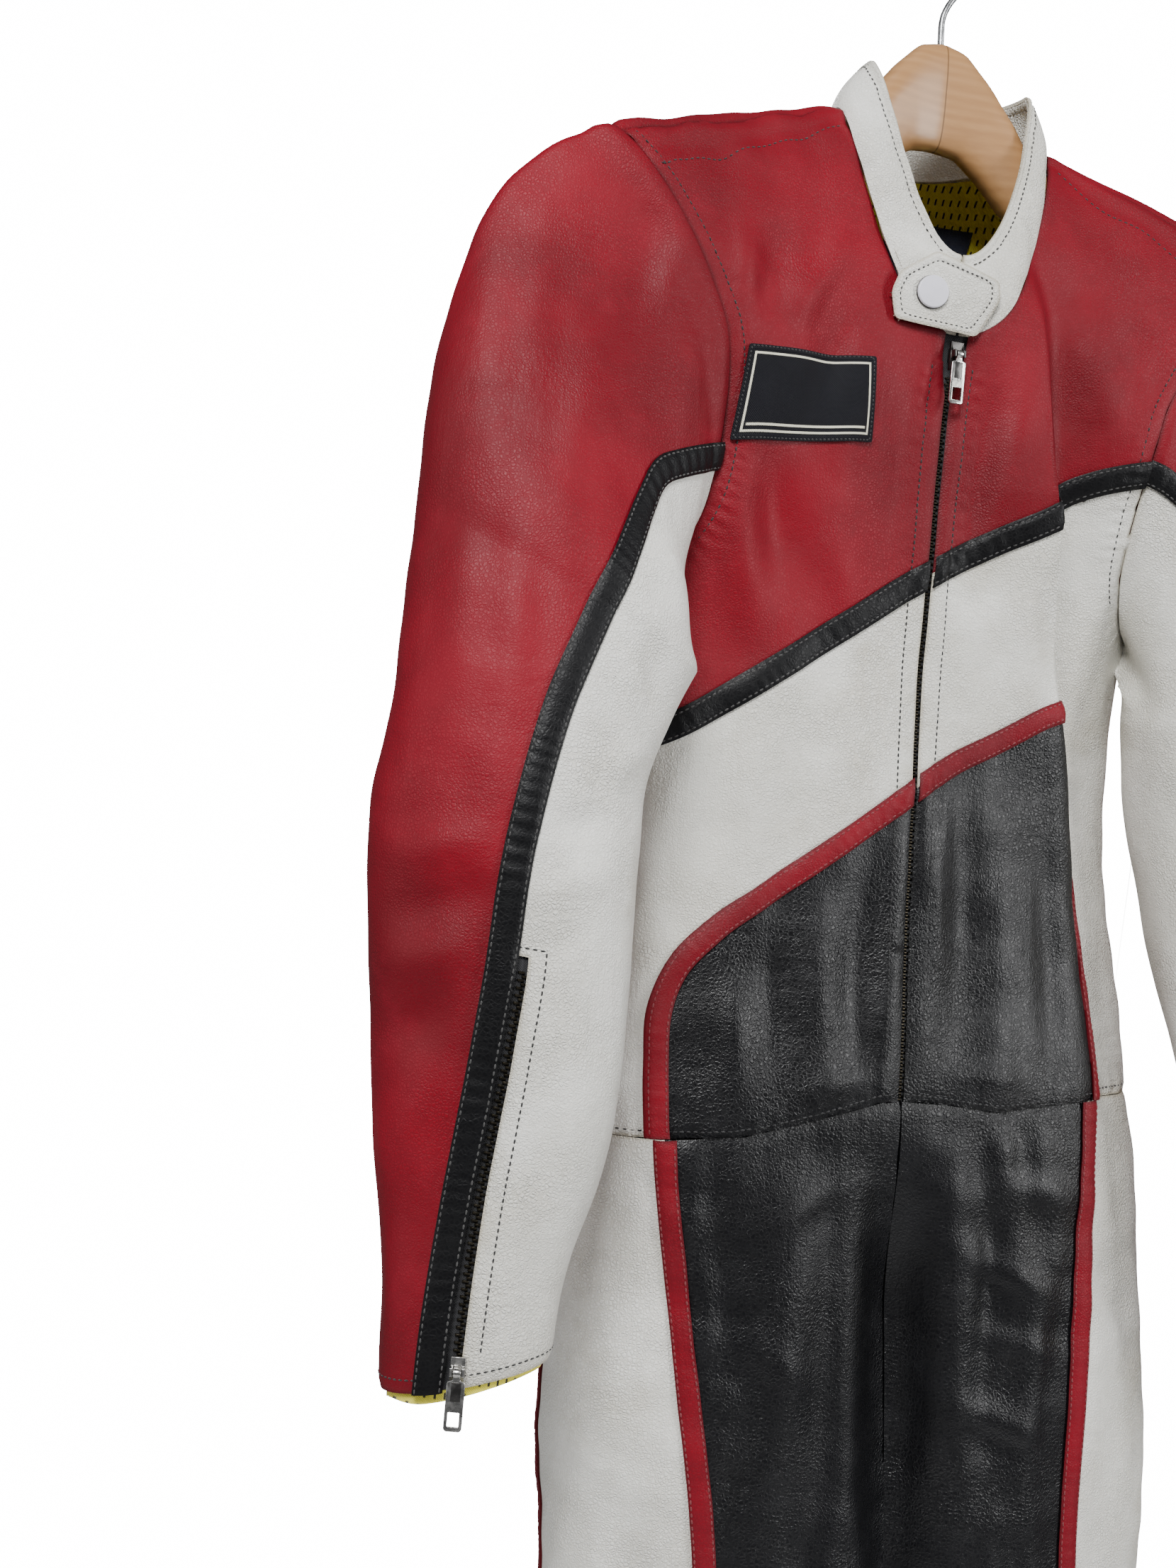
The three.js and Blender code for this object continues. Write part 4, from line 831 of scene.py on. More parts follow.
class Maker:
    """Puts shader nodes in a material, with short calls."""

    def __init__(self, name):
        self.material, self.nodes, self.links = tree_for(name)
        self.shader = self.nodes.new("ShaderNodeBsdfPrincipled")
        output = self.nodes.new("ShaderNodeOutputMaterial")
        self.links.new(self.shader.outputs[0], output.inputs["Surface"])
        self.place = self.nodes.new("ShaderNodeTexCoord").outputs["Object"]

    def set(self, node, values):
        for key, value in values.items():
            socket = node.inputs[key]
            if isinstance(value, bpy.types.NodeSocket):
                self.links.new(value, socket)
            else:
                socket.default_value = value

    def noise(self, scale, detail=3.0, roughness=0.55, at=None, stretch=None):
        node = self.nodes.new("ShaderNodeTexNoise")
        where = self.place if at is None else at
        if stretch is not None:
            where = self.mapped(where, stretch)
        self.set(node, {"Vector": where, "Scale": scale, "Detail": detail, "Roughness": roughness})
        return node.outputs["Fac"]

    def mapped(self, where, scale):
        node = self.nodes.new("ShaderNodeMapping")
        self.set(node, {"Vector": where, "Scale": scale})
        return node.outputs[0]

    def warped(self, scale, amount):
        """The place, pushed about by a noise."""
        node = self.nodes.new("ShaderNodeTexNoise")
        self.set(node, {"Vector": self.place, "Scale": scale, "Detail": 2.0})
        less = self.vector("SUBTRACT", node.outputs["Color"], (0.5, 0.5, 0.5))
        return self.vector("ADD", self.place, self.vector("SCALE", less, None, amount))

    def vector(self, kind, a, b=None, scale=None):
        node = self.nodes.new("ShaderNodeVectorMath")
        node.operation = kind
        self.set(node, {0: a})
        if b is not None:
            self.set(node, {1: b})
        if scale is not None:
            node.inputs["Scale"].default_value = scale
        return node.outputs[0]

    def cells(self, scale, at=None, feature="DISTANCE_TO_EDGE"):
        node = self.nodes.new("ShaderNodeTexVoronoi")
        node.feature = feature
        self.set(node, {"Vector": self.place if at is None else at, "Scale": scale})
        return node.outputs["Distance"]

    def ramp(self, value, low, high, start=0.0, end=1.0):
        node = self.nodes.new("ShaderNodeMapRange")
        node.interpolation_type = "SMOOTHSTEP"
        self.set(node, {0: value, 1: low, 2: high, 3: start, 4: end})
        return node.outputs[0]

    def math(self, kind, a, b=0.0, c=0.0):
        node = self.nodes.new("ShaderNodeMath")
        node.operation = kind
        self.set(node, {0: a, 1: b, 2: c})
        return node.outputs[0]

    def mix(self, share, a, b):
        node = self.nodes.new("ShaderNodeMix")
        node.data_type = "RGBA"
        self.set(node, {0: share, 6: a, 7: b})
        return node.outputs[2]

    def attribute(self, name):
        node = self.nodes.new("ShaderNodeAttribute")
        node.attribute_name = name
        return node.outputs["Fac"]

    def split(self, where=None):
        node = self.nodes.new("ShaderNodeSeparateXYZ")
        self.set(node, {0: self.place if where is None else where})
        return node.outputs

    def bump(self, height, strength=1.0, millimetres=1.0):
        """height in millimetres"""
        node = self.nodes.new("ShaderNodeBump")
        self.set(node, {"Strength": strength, "Distance": millimetres * 0.001, "Height": height})
        self.links.new(node.outputs[0], self.shader.inputs["Normal"])

    def finish(self, **values):
        self.set(self.shader, {key.replace("_", " "): value for key, value in values.items()})
        return self.material


def rgb(r, g, b):
    return (r, g, b, 1.0)


def leather(name, dark, base, worn, shade_and_grime, rough, grain, pebbles, streaks, wear=0.5, soil=0.0, shine=0.45):
    """Hide: so many pebbles to a metre, soft streaks down it, uneven dye, painted shade with some grime in
    the grain's valleys, and darker edges at the seams, painted shade in their grooves with some grime.
    """
    m = Maker(name)
    patchy = m.noise(8.0, 5.0)
    cloudy = m.noise(34.0, 5.0, 0.6)
    bent = m.warped(150.0, 0.0016)
    valleys = m.ramp(m.cells(pebbles, bent), 0.0, 0.3, 1.0, 0.0)
    small = m.ramp(m.cells(pebbles * 2.1, bent), 0.0, 0.35, 1.0, 0.0)
    strong = m.ramp(m.noise(19.0, 3.0), 0.32, 0.68, 0.35, 1.0)
    pulled = m.noise(120.0, 4.0, 0.6, stretch=(1.0, 1.0, 0.14))
    pulled_where = m.ramp(m.noise(11.0, 2.0), 0.42, 0.66)
    crossed = m.noise(110.0, 4.0, 0.6, stretch=(0.2, 0.2, 1.0))
    crossed_where = m.ramp(m.noise(9.0, 2.0, stretch=(1.0, 1.0, 1.6)), 0.5, 0.7)
    height = m.math("MULTIPLY", m.math("MULTIPLY", valleys, strong), -grain)
    height = m.math("MULTIPLY_ADD", small, -grain * 0.3, height)
    height = m.math("MULTIPLY_ADD", m.math("MULTIPLY", pulled, pulled_where), streaks, height)
    height = m.math("MULTIPLY_ADD", m.math("MULTIPLY", crossed, crossed_where), streaks, height)
    height = m.math("MULTIPLY_ADD", cloudy, streaks * 1.3, height)
    m.bump(height)
    colour = m.mix(m.ramp(patchy, 0.33, 0.66), dark, base)
    colour = m.mix(m.math("MULTIPLY", m.ramp(cloudy, 0.52, 0.80), wear), colour, worn)
    # Painted shade with some grime: the grain's valleys are mixed towards the darkest colour.
    colour = m.mix(m.math("MULTIPLY", m.math("MULTIPLY", valleys, strong), 0.30), colour, shade_and_grime)
    if soil > 0:
        grubby = m.math("MULTIPLY", m.ramp(m.noise(17.0, 5.0, 0.65), 0.5, 0.78), soil)
        colour = m.mix(grubby, colour, shade_and_grime)
    # Painted shade with some grime: within about 2 mm of a seam, where the edge rolls into the groove, the
    # hide is mixed towards the darkest colour; a wider patchy band up to 10 mm from the seam is darkened
    # less.
    seam_groove_shade_and_grime = m.ramp(m.attribute("edge"), 0.0, 2.2, 0.6, 0.0)
    colour = m.mix(seam_groove_shade_and_grime, colour, shade_and_grime)
    wide_edge = m.ramp(m.attribute("edge"), 1.5, 10.0, 0.2, 0.0)
    colour = m.mix(m.math("MULTIPLY", wide_edge, m.ramp(cloudy, 0.4, 0.6)), colour, shade_and_grime)
    dull = m.math("MULTIPLY_ADD", cloudy, 0.24, rough - 0.12)
    dull = m.math("MULTIPLY_ADD", valleys, 0.12, dull)
    return m.finish(Base_Color=colour, Roughness=dull, Specular_IOR_Level=shine)


def woven(name, base, light, scale, rough=0.8):
    """A plain weave for tape, labels and thread."""
    m = Maker(name)
    x, _, z = m.split()[:3]
    warp = m.math("SINE", m.math("MULTIPLY", x, scale * 6.283))
    weft = m.math("SINE", m.math("MULTIPLY", z, scale * 6.283))
    height = m.math("MULTIPLY", m.math("MULTIPLY", warp, weft), 0.12)
    m.bump(height)
    share = m.math("MULTIPLY_ADD", m.math("MULTIPLY", warp, weft), 0.25, m.noise(60.0))
    return m.finish(Base_Color=m.mix(share, base, light), Roughness=rough, Sheen_Weight=0.25)


def mesh_lining(name):
    """Yellow lining with rows of short upright holes, every second row moved by half; the holes are a sunk
    bump painted near-black, painted shade of the inside seen through them.
    """
    m = Maker(name)
    x, _, z = m.split()[:3]
    across, up = 0.0042, 0.0066
    row = m.math("DIVIDE", z, up)
    odd = m.math("MULTIPLY", m.math("MODULO", m.math("ABSOLUTE", m.math("FLOOR", row)), 2.0), 0.5)
    column = m.math("ADD", m.math("DIVIDE", x, across), odd)
    in_x = m.math("ABSOLUTE", m.math("SUBTRACT", m.math("FRACT", column), 0.5))
    in_z = m.math("ABSOLUTE", m.math("SUBTRACT", m.math("FRACT", row), 0.5))
    # Each hole is painted near-black below: painted shade of what lies behind the mesh.
    hole_shade = m.math("MULTIPLY", m.ramp(in_x, 0.08, 0.15, 1.0, 0.0), m.ramp(in_z, 0.2, 0.3, 1.0, 0.0))
    knit = m.math("SINE", m.math("MULTIPLY", m.math("ADD", x, z), 6000.0))
    m.bump(m.math("MULTIPLY_ADD", hole_shade, -0.5, m.math("MULTIPLY", knit, 0.06)))
    base = m.mix(m.noise(45.0), rgb(0.80, 0.70, 0.03), rgb(0.95, 0.87, 0.10))
    return m.finish(Base_Color=m.mix(hole_shade, base, rgb(0.03, 0.028, 0.008)), Roughness=0.78, Sheen_Weight=0.3)


def metal(name, base, rough, scratch=0.05):
    m = Maker(name)
    worn = m.noise(220.0, 5.0, 0.7)
    m.bump(m.math("MULTIPLY", m.noise(900.0, 2.0), scratch))
    tone = m.mix(m.ramp(worn, 0.4, 0.7), tuple(0.55 * c for c in base[:3]) + (1.0,), base)
    return m.finish(Base_Color=tone, Roughness=m.math("MULTIPLY_ADD", worn, 0.25, rough), Metallic=1.0)


def wood(name):
    m = Maker(name)
    x = m.split()[0]
    flat = m.mapped(m.place, (6.0, 60.0, 60.0))
    fibre = m.noise(4.0, 6.0, 0.6, at=flat)
    rings = m.nodes.new("ShaderNodeTexWave")
    rings.bands_direction = "Z"
    place = m.mapped(m.place, (1.2, 8.0, 14.0))
    m.set(rings, {"Vector": place, "Scale": 4.0, "Distortion": 5.0, "Detail": 3.0})
    colour = m.mix(fibre, rgb(0.34, 0.165, 0.06), rgb(0.50, 0.28, 0.12))
    colour = m.mix(m.math("MULTIPLY", rings.outputs["Fac"], 0.3), colour, rgb(0.29, 0.135, 0.05))
    mitre = m.ramp(m.math("ABSOLUTE", m.math("SUBTRACT", x, 0.0012)), 0.0002, 0.0006, 0.75, 0.0)
    colour = m.mix(mitre, colour, rgb(0.12, 0.06, 0.02))
    m.bump(m.math("MULTIPLY", fibre, 0.08))
    return m.finish(Base_Color=colour, Roughness=0.42, Coat_Weight=0.35, Coat_Roughness=0.28)


def plastic(name, base, light, rough):
    m = Maker(name)
    dirt = m.noise(120.0, 4.0)
    m.bump(m.math("MULTIPLY", m.noise(500.0, 2.0), 0.03))
    return m.finish(Base_Color=m.mix(dirt, base, light), Roughness=m.math("MULTIPLY_ADD", dirt, 0.15, rough))


# The fourth colour of each hide is its darkest: painted shade with some grime in the grain's valleys and at
# the seams, and grime in the soiled patches.
RED = leather("red_leather", rgb(0.145, 0.0008, 0.0070), rgb(0.232, 0.0012, 0.0115), rgb(0.26, 0.005, 0.018),
              rgb(0.055, 0.0005, 0.003), 0.47, 0.12, 620.0, 0.6, shine=0.27)
WHITE = leather("white_leather", rgb(0.70, 0.69, 0.63), rgb(0.87, 0.865, 0.82), rgb(0.90, 0.895, 0.87),
                rgb(0.42, 0.37, 0.26), 0.40, 0.42, 560.0, 1.5, 0.6, 0.45)
BLACK = leather("black_leather", rgb(0.0020, 0.0020, 0.0027), rgb(0.0034, 0.0034, 0.0044),
                rgb(0.008, 0.008, 0.010), rgb(0.0012, 0.0012, 0.0016), 0.31, 0.16, 480.0, 0.6, shine=0.40)
BAND = leather("black_band_leather", rgb(0.0018, 0.0018, 0.0024), rgb(0.0030, 0.0030, 0.0038),
               rgb(0.006, 0.006, 0.007), rgb(0.0012, 0.0012, 0.0016), 0.42, 0.10, 480.0, 0.2, shine=0.24)
LINING = mesh_lining("mesh_lining")
TAPE = woven("zip_tape", rgb(0.006, 0.006, 0.007), rgb(0.022, 0.022, 0.025), 900.0)
NAVY = woven("navy_label", rgb(0.004, 0.007, 0.022), rgb(0.012, 0.02, 0.06), 1200.0, 0.6)
PAPER = woven("white_label", rgb(0.55, 0.55, 0.52), rgb(0.75, 0.75, 0.72), 1200.0, 0.75)
GREY_THREAD = woven("grey_thread", rgb(0.030, 0.029, 0.028), rgb(0.065, 0.063, 0.06), 2500.0, 0.7)
BLACK_THREAD = woven("black_thread", rgb(0.003, 0.003, 0.004), rgb(0.010, 0.010, 0.011), 2500.0, 0.6)
RED_THREAD = woven("red_thread", rgb(0.20, 0.012, 0.018), rgb(0.32, 0.02, 0.03), 2500.0, 0.6)
NICKEL = metal("nickel", rgb(0.72, 0.71, 0.68), 0.16)
GUNMETAL = metal("gunmetal", rgb(0.16, 0.155, 0.15), 0.24)
BRASS = metal("dark_brass", rgb(0.060, 0.052, 0.038), 0.3)
STEEL = metal("hook_steel", rgb(0.55, 0.56, 0.57), 0.2)
CAP = plastic("snap_cap", rgb(0.66, 0.65, 0.72), rgb(0.76, 0.75, 0.82), 0.22)
WOOD = wood("lacquered_wood")


# Making the pieces


def pick(thing):
    bpy.ops.object.select_all(action="DESELECT")
    thing.select_set(True)
    bpy.context.view_layer.objects.active = thing


def edited(thing, change, **values):
    """Runs one operator on the whole mesh of a piece, in edit mode."""
    pick(thing)
    bpy.ops.object.mode_set(mode="EDIT")
    bpy.ops.mesh.select_all(action="SELECT")
    change(**values)
    bpy.ops.object.mode_set(mode="OBJECT")


def in_frame(points):
    """From millimetres below the neck point to the frame's metres."""
    return (np.asarray(points) + np.array([0, 0, -NECK_DROP])) / 1000


def mesh_piece(name, points, faces, material, marks):
    """marks: attributes by name, one number a point"""
    mesh = bpy.data.meshes.new(name)
    mesh.from_pydata(in_frame(points).tolist(), [], faces.tolist())
    for key, values in marks.items():
        mesh.attributes.new(key, "FLOAT", "POINT").data.foreach_set("value", values.astype(np.float32))
    mesh.materials.append(material)
    thing = bpy.data.objects.new(name, mesh)
    bpy.context.scene.collection.objects.link(thing)
    return thing


def apply_all(thing):
    pick(thing)
    for modifier in list(thing.modifiers):
        bpy.ops.object.modifier_apply(modifier=modifier.name)


def smooth(thing, degrees=50):
    pick(thing)
    bpy.ops.object.shade_smooth_by_angle(angle=math.radians(degrees))


def fitted(thing, body, node=None):
    """The body that a piece rides, and the CAD nodes that it stands for."""
    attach(thing, body)
    if node:
        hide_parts(*([node] if isinstance(node, str) else node))
    return thing


def flat_size(cloth):
    """The flat width and length of a piece, from its widest level, its height and its area, in metres."""
    area = cloth.area()
    middle = cloth.points[cloth.faces].mean(axis=1)[:, 2]
    low, high = cloth.points[:, 2].min(), cloth.points[:, 2].max()
    bands = max(3, int((high - low) / 20))
    per_band = np.bincount(np.minimum(((middle - low) / (high - low) * bands).astype(int), bands - 1), area)
    step = (high - low) / bands
    return per_band.max() / step / 1000, (high - low) / 1000, area.sum() / 1e6


def sew(name, cloth, material, node, thick=HIDE, roll=1.1, body="suit", bevel=0.0, flat=None, marks=None):
    """A sheet with thickness from its cloth, whose edges roll in to the seams."""
    edge = cloth.edge_distance()
    shaped = cloth.moved(-roll * np.exp(-((edge / 2.6) ** 2)))
    thing = mesh_piece(name, shaped.points, shaped.faces, material, {"edge": edge} | (marks or {}))
    wall = thing.modifiers.new("thickness", "SOLIDIFY")
    wall.thickness, wall.offset = thick / 1000, -1
    if bevel > 0:
        rounded = thing.modifiers.new("edge", "BEVEL")
        rounded.width, rounded.segments, rounded.limit_method = bevel / 1000, 3, "ANGLE"
        rounded.angle_limit = math.radians(50)
    apply_all(thing)
    smooth(thing)
    fitted(thing, body, node)
    width, length, area = flat_size(cloth)
    if flat is not None:
        width, length = flat
    area = min(area, width * length)
    return thing


class Surface:
    """Finds points on finished pieces."""

    def __init__(self, things):
        points, faces = [], []
        for thing in things:
            start = len(points)
            points += [v.co.copy() for v in thing.data.vertices]
            faces += [tuple(start + v for v in p.vertices) for p in thing.data.polygons]
        self.tree = BVHTree.FromPolygons(points, faces)

    def seen(self, x, z):
        """The place and normal seen from the front at x, z in millimetres."""
        start = Vector(in_frame([x, -900.0, z]))
        place, normal, _, _ = self.tree.ray_cast(start, Vector((0, 1, 0)))
        return place, normal

    def nearest(self, point):
        place, normal, _, _ = self.tree.find_nearest(Vector(in_frame(point)))
        return place, normal


def modelled_tooth(width, height, depth):
    """One zip tooth: a block with rounded edges."""
    bpy.ops.object.select_all(action="DESELECT")
    bpy.ops.mesh.primitive_cube_add(size=1, location=(0, 0, 0))
    tooth = bpy.context.active_object
    tooth.scale = (width / 1000, depth / 1000, height / 1000)
    bpy.ops.object.transform_apply(location=True, rotation=True, scale=True)
    edited(tooth, bpy.ops.mesh.bevel, offset=0.22 / 1000, segments=1)
    return tooth


def modelled_stitch(length, half):
    """One stitch: a short rounded piece of thread that lies along Z."""
    bpy.ops.object.select_all(action="DESELECT")
    bpy.ops.mesh.primitive_uv_sphere_add(segments=4, ring_count=3, radius=0.5)
    thread = bpy.context.active_object
    thread.scale = (2 * half / 1000, 2 * half / 1000, length / 1000)
    bpy.ops.object.transform_apply(location=True, rotation=True, scale=True)
    return thread


def copies(name, pattern, places, material, node, degrees):
    """One mesh of copies of a pattern, each at its middle, along its way and square to its normal."""
    points, faces = [], []
    corners = [v.co.copy() for v in pattern.data.vertices]
    shape = [tuple(p.vertices) for p in pattern.data.polygons]
    for middle, way, n in places:
        across = way.cross(n).normalized()
        start = len(points)
        points += [middle + across * c.x - n * c.y + way * c.z for c in corners]
        faces += [tuple(start + v for v in side) for side in shape]
    mesh = bpy.data.meshes.new(name)
    mesh.from_pydata(points, [], faces)
    mesh.materials.append(material)
    row = bpy.data.objects.new(name, mesh)
    bpy.context.scene.collection.objects.link(row)
    edited(row, bpy.ops.mesh.normals_make_consistent, inside=False)
    smooth(row, degrees)
    return fitted(row, "suit", node)


def stitch_rows(name, runs, material, length=2.5, half=0.5):
    """Stitches along runs of (place, normal) spots in the frame."""
    places = []
    for spots in runs:
        for (a, n), (b, _) in zip(spots, spots[1:]):
            if 1e-6 < (b - a).length < STITCH_GAP:
                places.append(((a + b) / 2, (b - a).normalized(), n))
    pattern = modelled_stitch(length, half)
    copies(name, pattern, places, material, None, 90)
    bpy.data.objects.remove(pattern)


def tooth_row(name, pattern, spots, material, node, shift):
    """Zip teeth along a run of spots, every second one moved to the other side."""
    places = []
    for k, ((a, n), (b, _)) in enumerate(zip(spots, spots[1:])):
        way = (b - a).normalized()
        across = way.cross(n).normalized()
        places.append(((a + b) / 2 + across * ((-1) ** k * shift / 1000) + n * 0.0005, way, n))
    copies(name, pattern, places, material, node, 40)


def spots_seen(surface, line, step=STITCH):
    """Spots along a line of x, z as seen from the front, broken where nothing is hit."""
    runs, run = [], []
    for x, z in evenly(line, step):
        place, normal = surface.seen(x, z)
        if place is None or (run and (place - run[-1][0]).length > STITCH_GAP):
            if len(run) > 1:
                runs.append(run)
            run = []
        if place is not None:
            run.append((place, normal))
    if len(run) > 1:
        runs.append(run)
    return runs


def spots_near(surface, line, step=STITCH):
    """Spots along a line in space, each on the surface nearest to it."""
    return [[surface.nearest(p) for p in evenly(line, step)]]


def set_camera():
    yaw, pitch, roll = (math.radians(v) for v in (CAMERA_YAW, CAMERA_PITCH, CAMERA_ROLL))
    ahead = Vector((math.sin(yaw) * math.cos(pitch), math.cos(yaw) * math.cos(pitch), -math.sin(pitch)))
    right = Vector((math.cos(yaw), -math.sin(yaw), 0))
    up = right.cross(ahead)
    right, up = right * math.cos(roll) + up * math.sin(roll), up * math.cos(roll) - right * math.sin(roll)
    data = bpy.data.cameras.new("camera")
    data.sensor_width, data.lens = 36.0, CAMERA_LENS
    data.clip_start, data.clip_end = 0.05, 20
    camera = bpy.data.objects.new("camera", data)
    columns = Matrix((right, up, -ahead)).transposed()
    camera.matrix_world = Matrix.Translation(CAMERA_PLACE) @ columns.to_4x4()
    bpy.context.scene.collection.objects.link(camera)
    bpy.context.scene.camera = camera


def light(name, place, target, size, power, tone=(1, 1, 1)):
    data = bpy.data.lights.new(name, "AREA")
    data.shape, data.size, data.size_y, data.energy, data.color = "RECTANGLE", size[0], size[1], power, tone
    lamp = bpy.data.objects.new(name, data)
    lamp.location = place
    lamp.rotation_euler = (Vector(target) - Vector(place)).to_track_quat("-Z", "Y").to_euler()
    bpy.context.scene.collection.objects.link(lamp)


def set_studio():
    """A white room whose brightness only the camera sees, with broad soft lights."""
    world = bpy.data.worlds.new("studio")
    world.use_nodes = True
    nodes, links = world.node_tree.nodes, world.node_tree.links
    room = nodes["Background"]
    room.inputs["Color"].default_value = rgb(0.95, 0.96, 1.0)
    room.inputs["Strength"].default_value = 0.16
    white = nodes.new("ShaderNodeBackground")
    white.inputs["Color"].default_value = rgb(1, 1, 1)
    white.inputs["Strength"].default_value = 16.0
    rays = nodes.new("ShaderNodeLightPath")
    mixed = nodes.new("ShaderNodeMixShader")
    links.new(rays.outputs["Is Camera Ray"], mixed.inputs[0])
    links.new(room.outputs[0], mixed.inputs[1])
    links.new(white.outputs[0], mixed.inputs[2])
    links.new(mixed.outputs[0], nodes["World Output"].inputs["Surface"])
    bpy.context.scene.world = world
    light("key", (-1.3, -2.0, 1.3), (0, 0, -0.5), (1.0, 1.0), 116)
    light("side", (1.7, -1.9, 0.1), (0, 0, -0.5), (0.5, 1.8), 50)
    light("rim", (-2.2, -0.2, -0.2), (0, 0, -0.5), (0.4, 1.6), 12)
    light("behind", (0.6, 2.4, 0.6), (0, 0, -0.7), (1.2, 1.2), 45)
    under = (0, 0, cad_box[0][2] - 0.1)
    bpy.ops.mesh.primitive_cylinder_add(vertices=96, radius=1.25, depth=0.02, location=under)
    floor = bpy.context.active_object
    floor.name = "floor"
    m = Maker("pale_floor")
    pale = m.mix(m.noise(2.0), rgb(0.84, 0.84, 0.84), rgb(0.88, 0.88, 0.88))
    floor.data.materials.append(m.finish(Base_Color=pale, Roughness=0.9))


# The body


def body_turns(place, columns):
    """Columns round the body, wider at the back, so laid that one of them follows the upright fold."""
    quarters = [(0, 0.25), (0.25, 0.75), (0.75, 1)]
    plain = np.concatenate([np.linspace(*ends, columns // 4, endpoint=False) for ends in quarters])
    fold_turn = 0.0775
    rows = place[:, None]

    def past(turn):
        p = body_point(turn, place)
        return p[..., 0] > down(FOLD, p[..., 2], 1)

    edge = share_where(np.full(len(place), 0.01), np.full(len(place), 0.2), past)[:, None]
    plain = plain[None, :] + 0 * rows
    inner = plain * edge / fold_turn
    outer = edge + (plain - fold_turn) * (0.25 - edge) / (0.25 - fold_turn)
    return np.where(plain > 0.25, plain, np.where(plain < fold_turn, inner, outer))


def body_cloth():
    right_side = body_point(np.full(len(BODY), 0.75), np.arange(len(BODY)))
    spacing = np.linalg.norm(np.diff(right_side, axis=0), axis=1)
    places = [np.linspace(k, k + 1, max(3, int(spacing[k] / CELL)), endpoint=False) for k in range(10)]
    places = np.concatenate(places + [np.linspace(10, 10.3, 10)])
    turns = body_turns(places, 310)
    cloth = cloth_of(body_point(turns, places[:, None] + 0 * turns), closed=True)
    lift = BODY_SCALE * fold_lift(BODY_FOLDS, cloth.points, cloth.normals)
    lift += slack(cloth.points, 70, 1.0, 1)
    lift += drape(cloth.points, 30, 0.8, 11)
    return cloth.moved(lift)


def front_value(points, split):
    """Positive in front of the shoulder seams, and in front of the side seams below the level split."""
    x, y, z = points.T
    above = np.interp(x, SHOULDER_SEAM[:, 0], SHOULDER_SEAM[:, 1])
    left = np.interp(-z, -SIDE_SEAM_LEFT[:, 1], SIDE_SEAM_LEFT[:, 0])
    below = np.where(x > 0, left, SIDE_SEAM_RIGHT_Y)
    return np.maximum(above - y, np.minimum(below - y, split - z))


def inside_armhole(points, line):
    x, _, z = points.T
    return np.maximum(x_at(line, z) - np.abs(x), ARMPIT_Z - z)


def above_waist(points):
    return points[:, 2] - np.interp(points[:, 0], WAIST_LINE[:, 0], WAIST_LINE[:, 1])


def zip_half(z):
    return np.interp(-z, -ZIP_SLOT[:, 0], ZIP_SLOT[:, 1])


black_line = smooth_line(BLACK_LINE, 6)
red_line = smooth_line(RED_LINE, 6)
body = body_cloth()
body = body.cut(above_waist(body.points))
front = body.cut(front_value(body.points, ARMPIT_SPLIT))
front = front.cut(inside_armhole(front.points, ARMHOLE_FRONT))
back = body.cut(-front_value(body.points, ARMPIT_SPLIT))
back_edge = np.vstack([ARMHOLE_FRONT[:1], ARMHOLE_BACK, ARMHOLE_FRONT[-1:]])
back = back.cut(inside_armhole(back.points, back_edge))
front = joined([front, back.cut(front_value(back.points, SEAM_MEETING))]).welded()
back = back.cut(-front_value(back.points, SEAM_MEETING))
sides = {
    "right": front.cut(-zip_half(front.points[:, 2]) - front.points[:, 0]),
    "left": front.cut(front.points[:, 0] - zip_half(front.points[:, 2])),
}


def to_line(cloth, line):
    return from_line(line, cloth.points[:, 0], cloth.points[:, 2])[0]


def uneven_wave(along, length):
    """Puckers along a band, some near and high, others wide and low."""
    wave = np.sin(2 * np.pi * along / length + 1.9 * np.sin(along / 17))
    return wave * (0.55 + 0.45 * np.sin(along / 29 + 1.3 * np.sin(along / 11)))


def band_swell(away, along, half, pucker, coarse, row_half):
    """How far a puckered band stands off its seam, with a groove and ripples at each row of stitches."""
    share = np.clip(away / half, 0, 1)
    from_row = away - half + ROW_INSET
    ripple = uneven_wave(along, coarse) * (1 - share**4)
    small = np.sin(2 * np.pi * along / STITCH) * np.exp(-((from_row / 1.3) ** 2))
    groove = 0.35 * np.exp(-((from_row / row_half) ** 2))
    return BAND_RISE + 0.9 * (1 - share**6) + pucker * ripple + pucker * 0.35 * small - groove


def sew_band(name, band, measured, width, material, node):
    """A band's flat size is its sewn width by the length that the measured cloth's area gives."""
    area = measured.area().sum() / 1e6
    flat = (width / 1000, area / (width / 1000) * 1.01)
    return sew(name, band, material, node, thick=1.2, roll=0.3, flat=flat)


def strip_over(name, cloth, line, width, material, node, pucker, coarse=7.0):
    """A band sewn over a seam, puckered by its two rows of stitches."""
    half = width / 2
    band = cloth.cut(half - to_line(cloth, line))
    band = band.cut(half + to_line(band, line))
    band = band.finer()
    away, along = from_line(line, band.points[:, 0], band.points[:, 2])
    lifted = band.moved(band_swell(np.abs(away), along, half, pucker, coarse, 1.2))
    return sew_band(name, lifted, band, width, material, node)


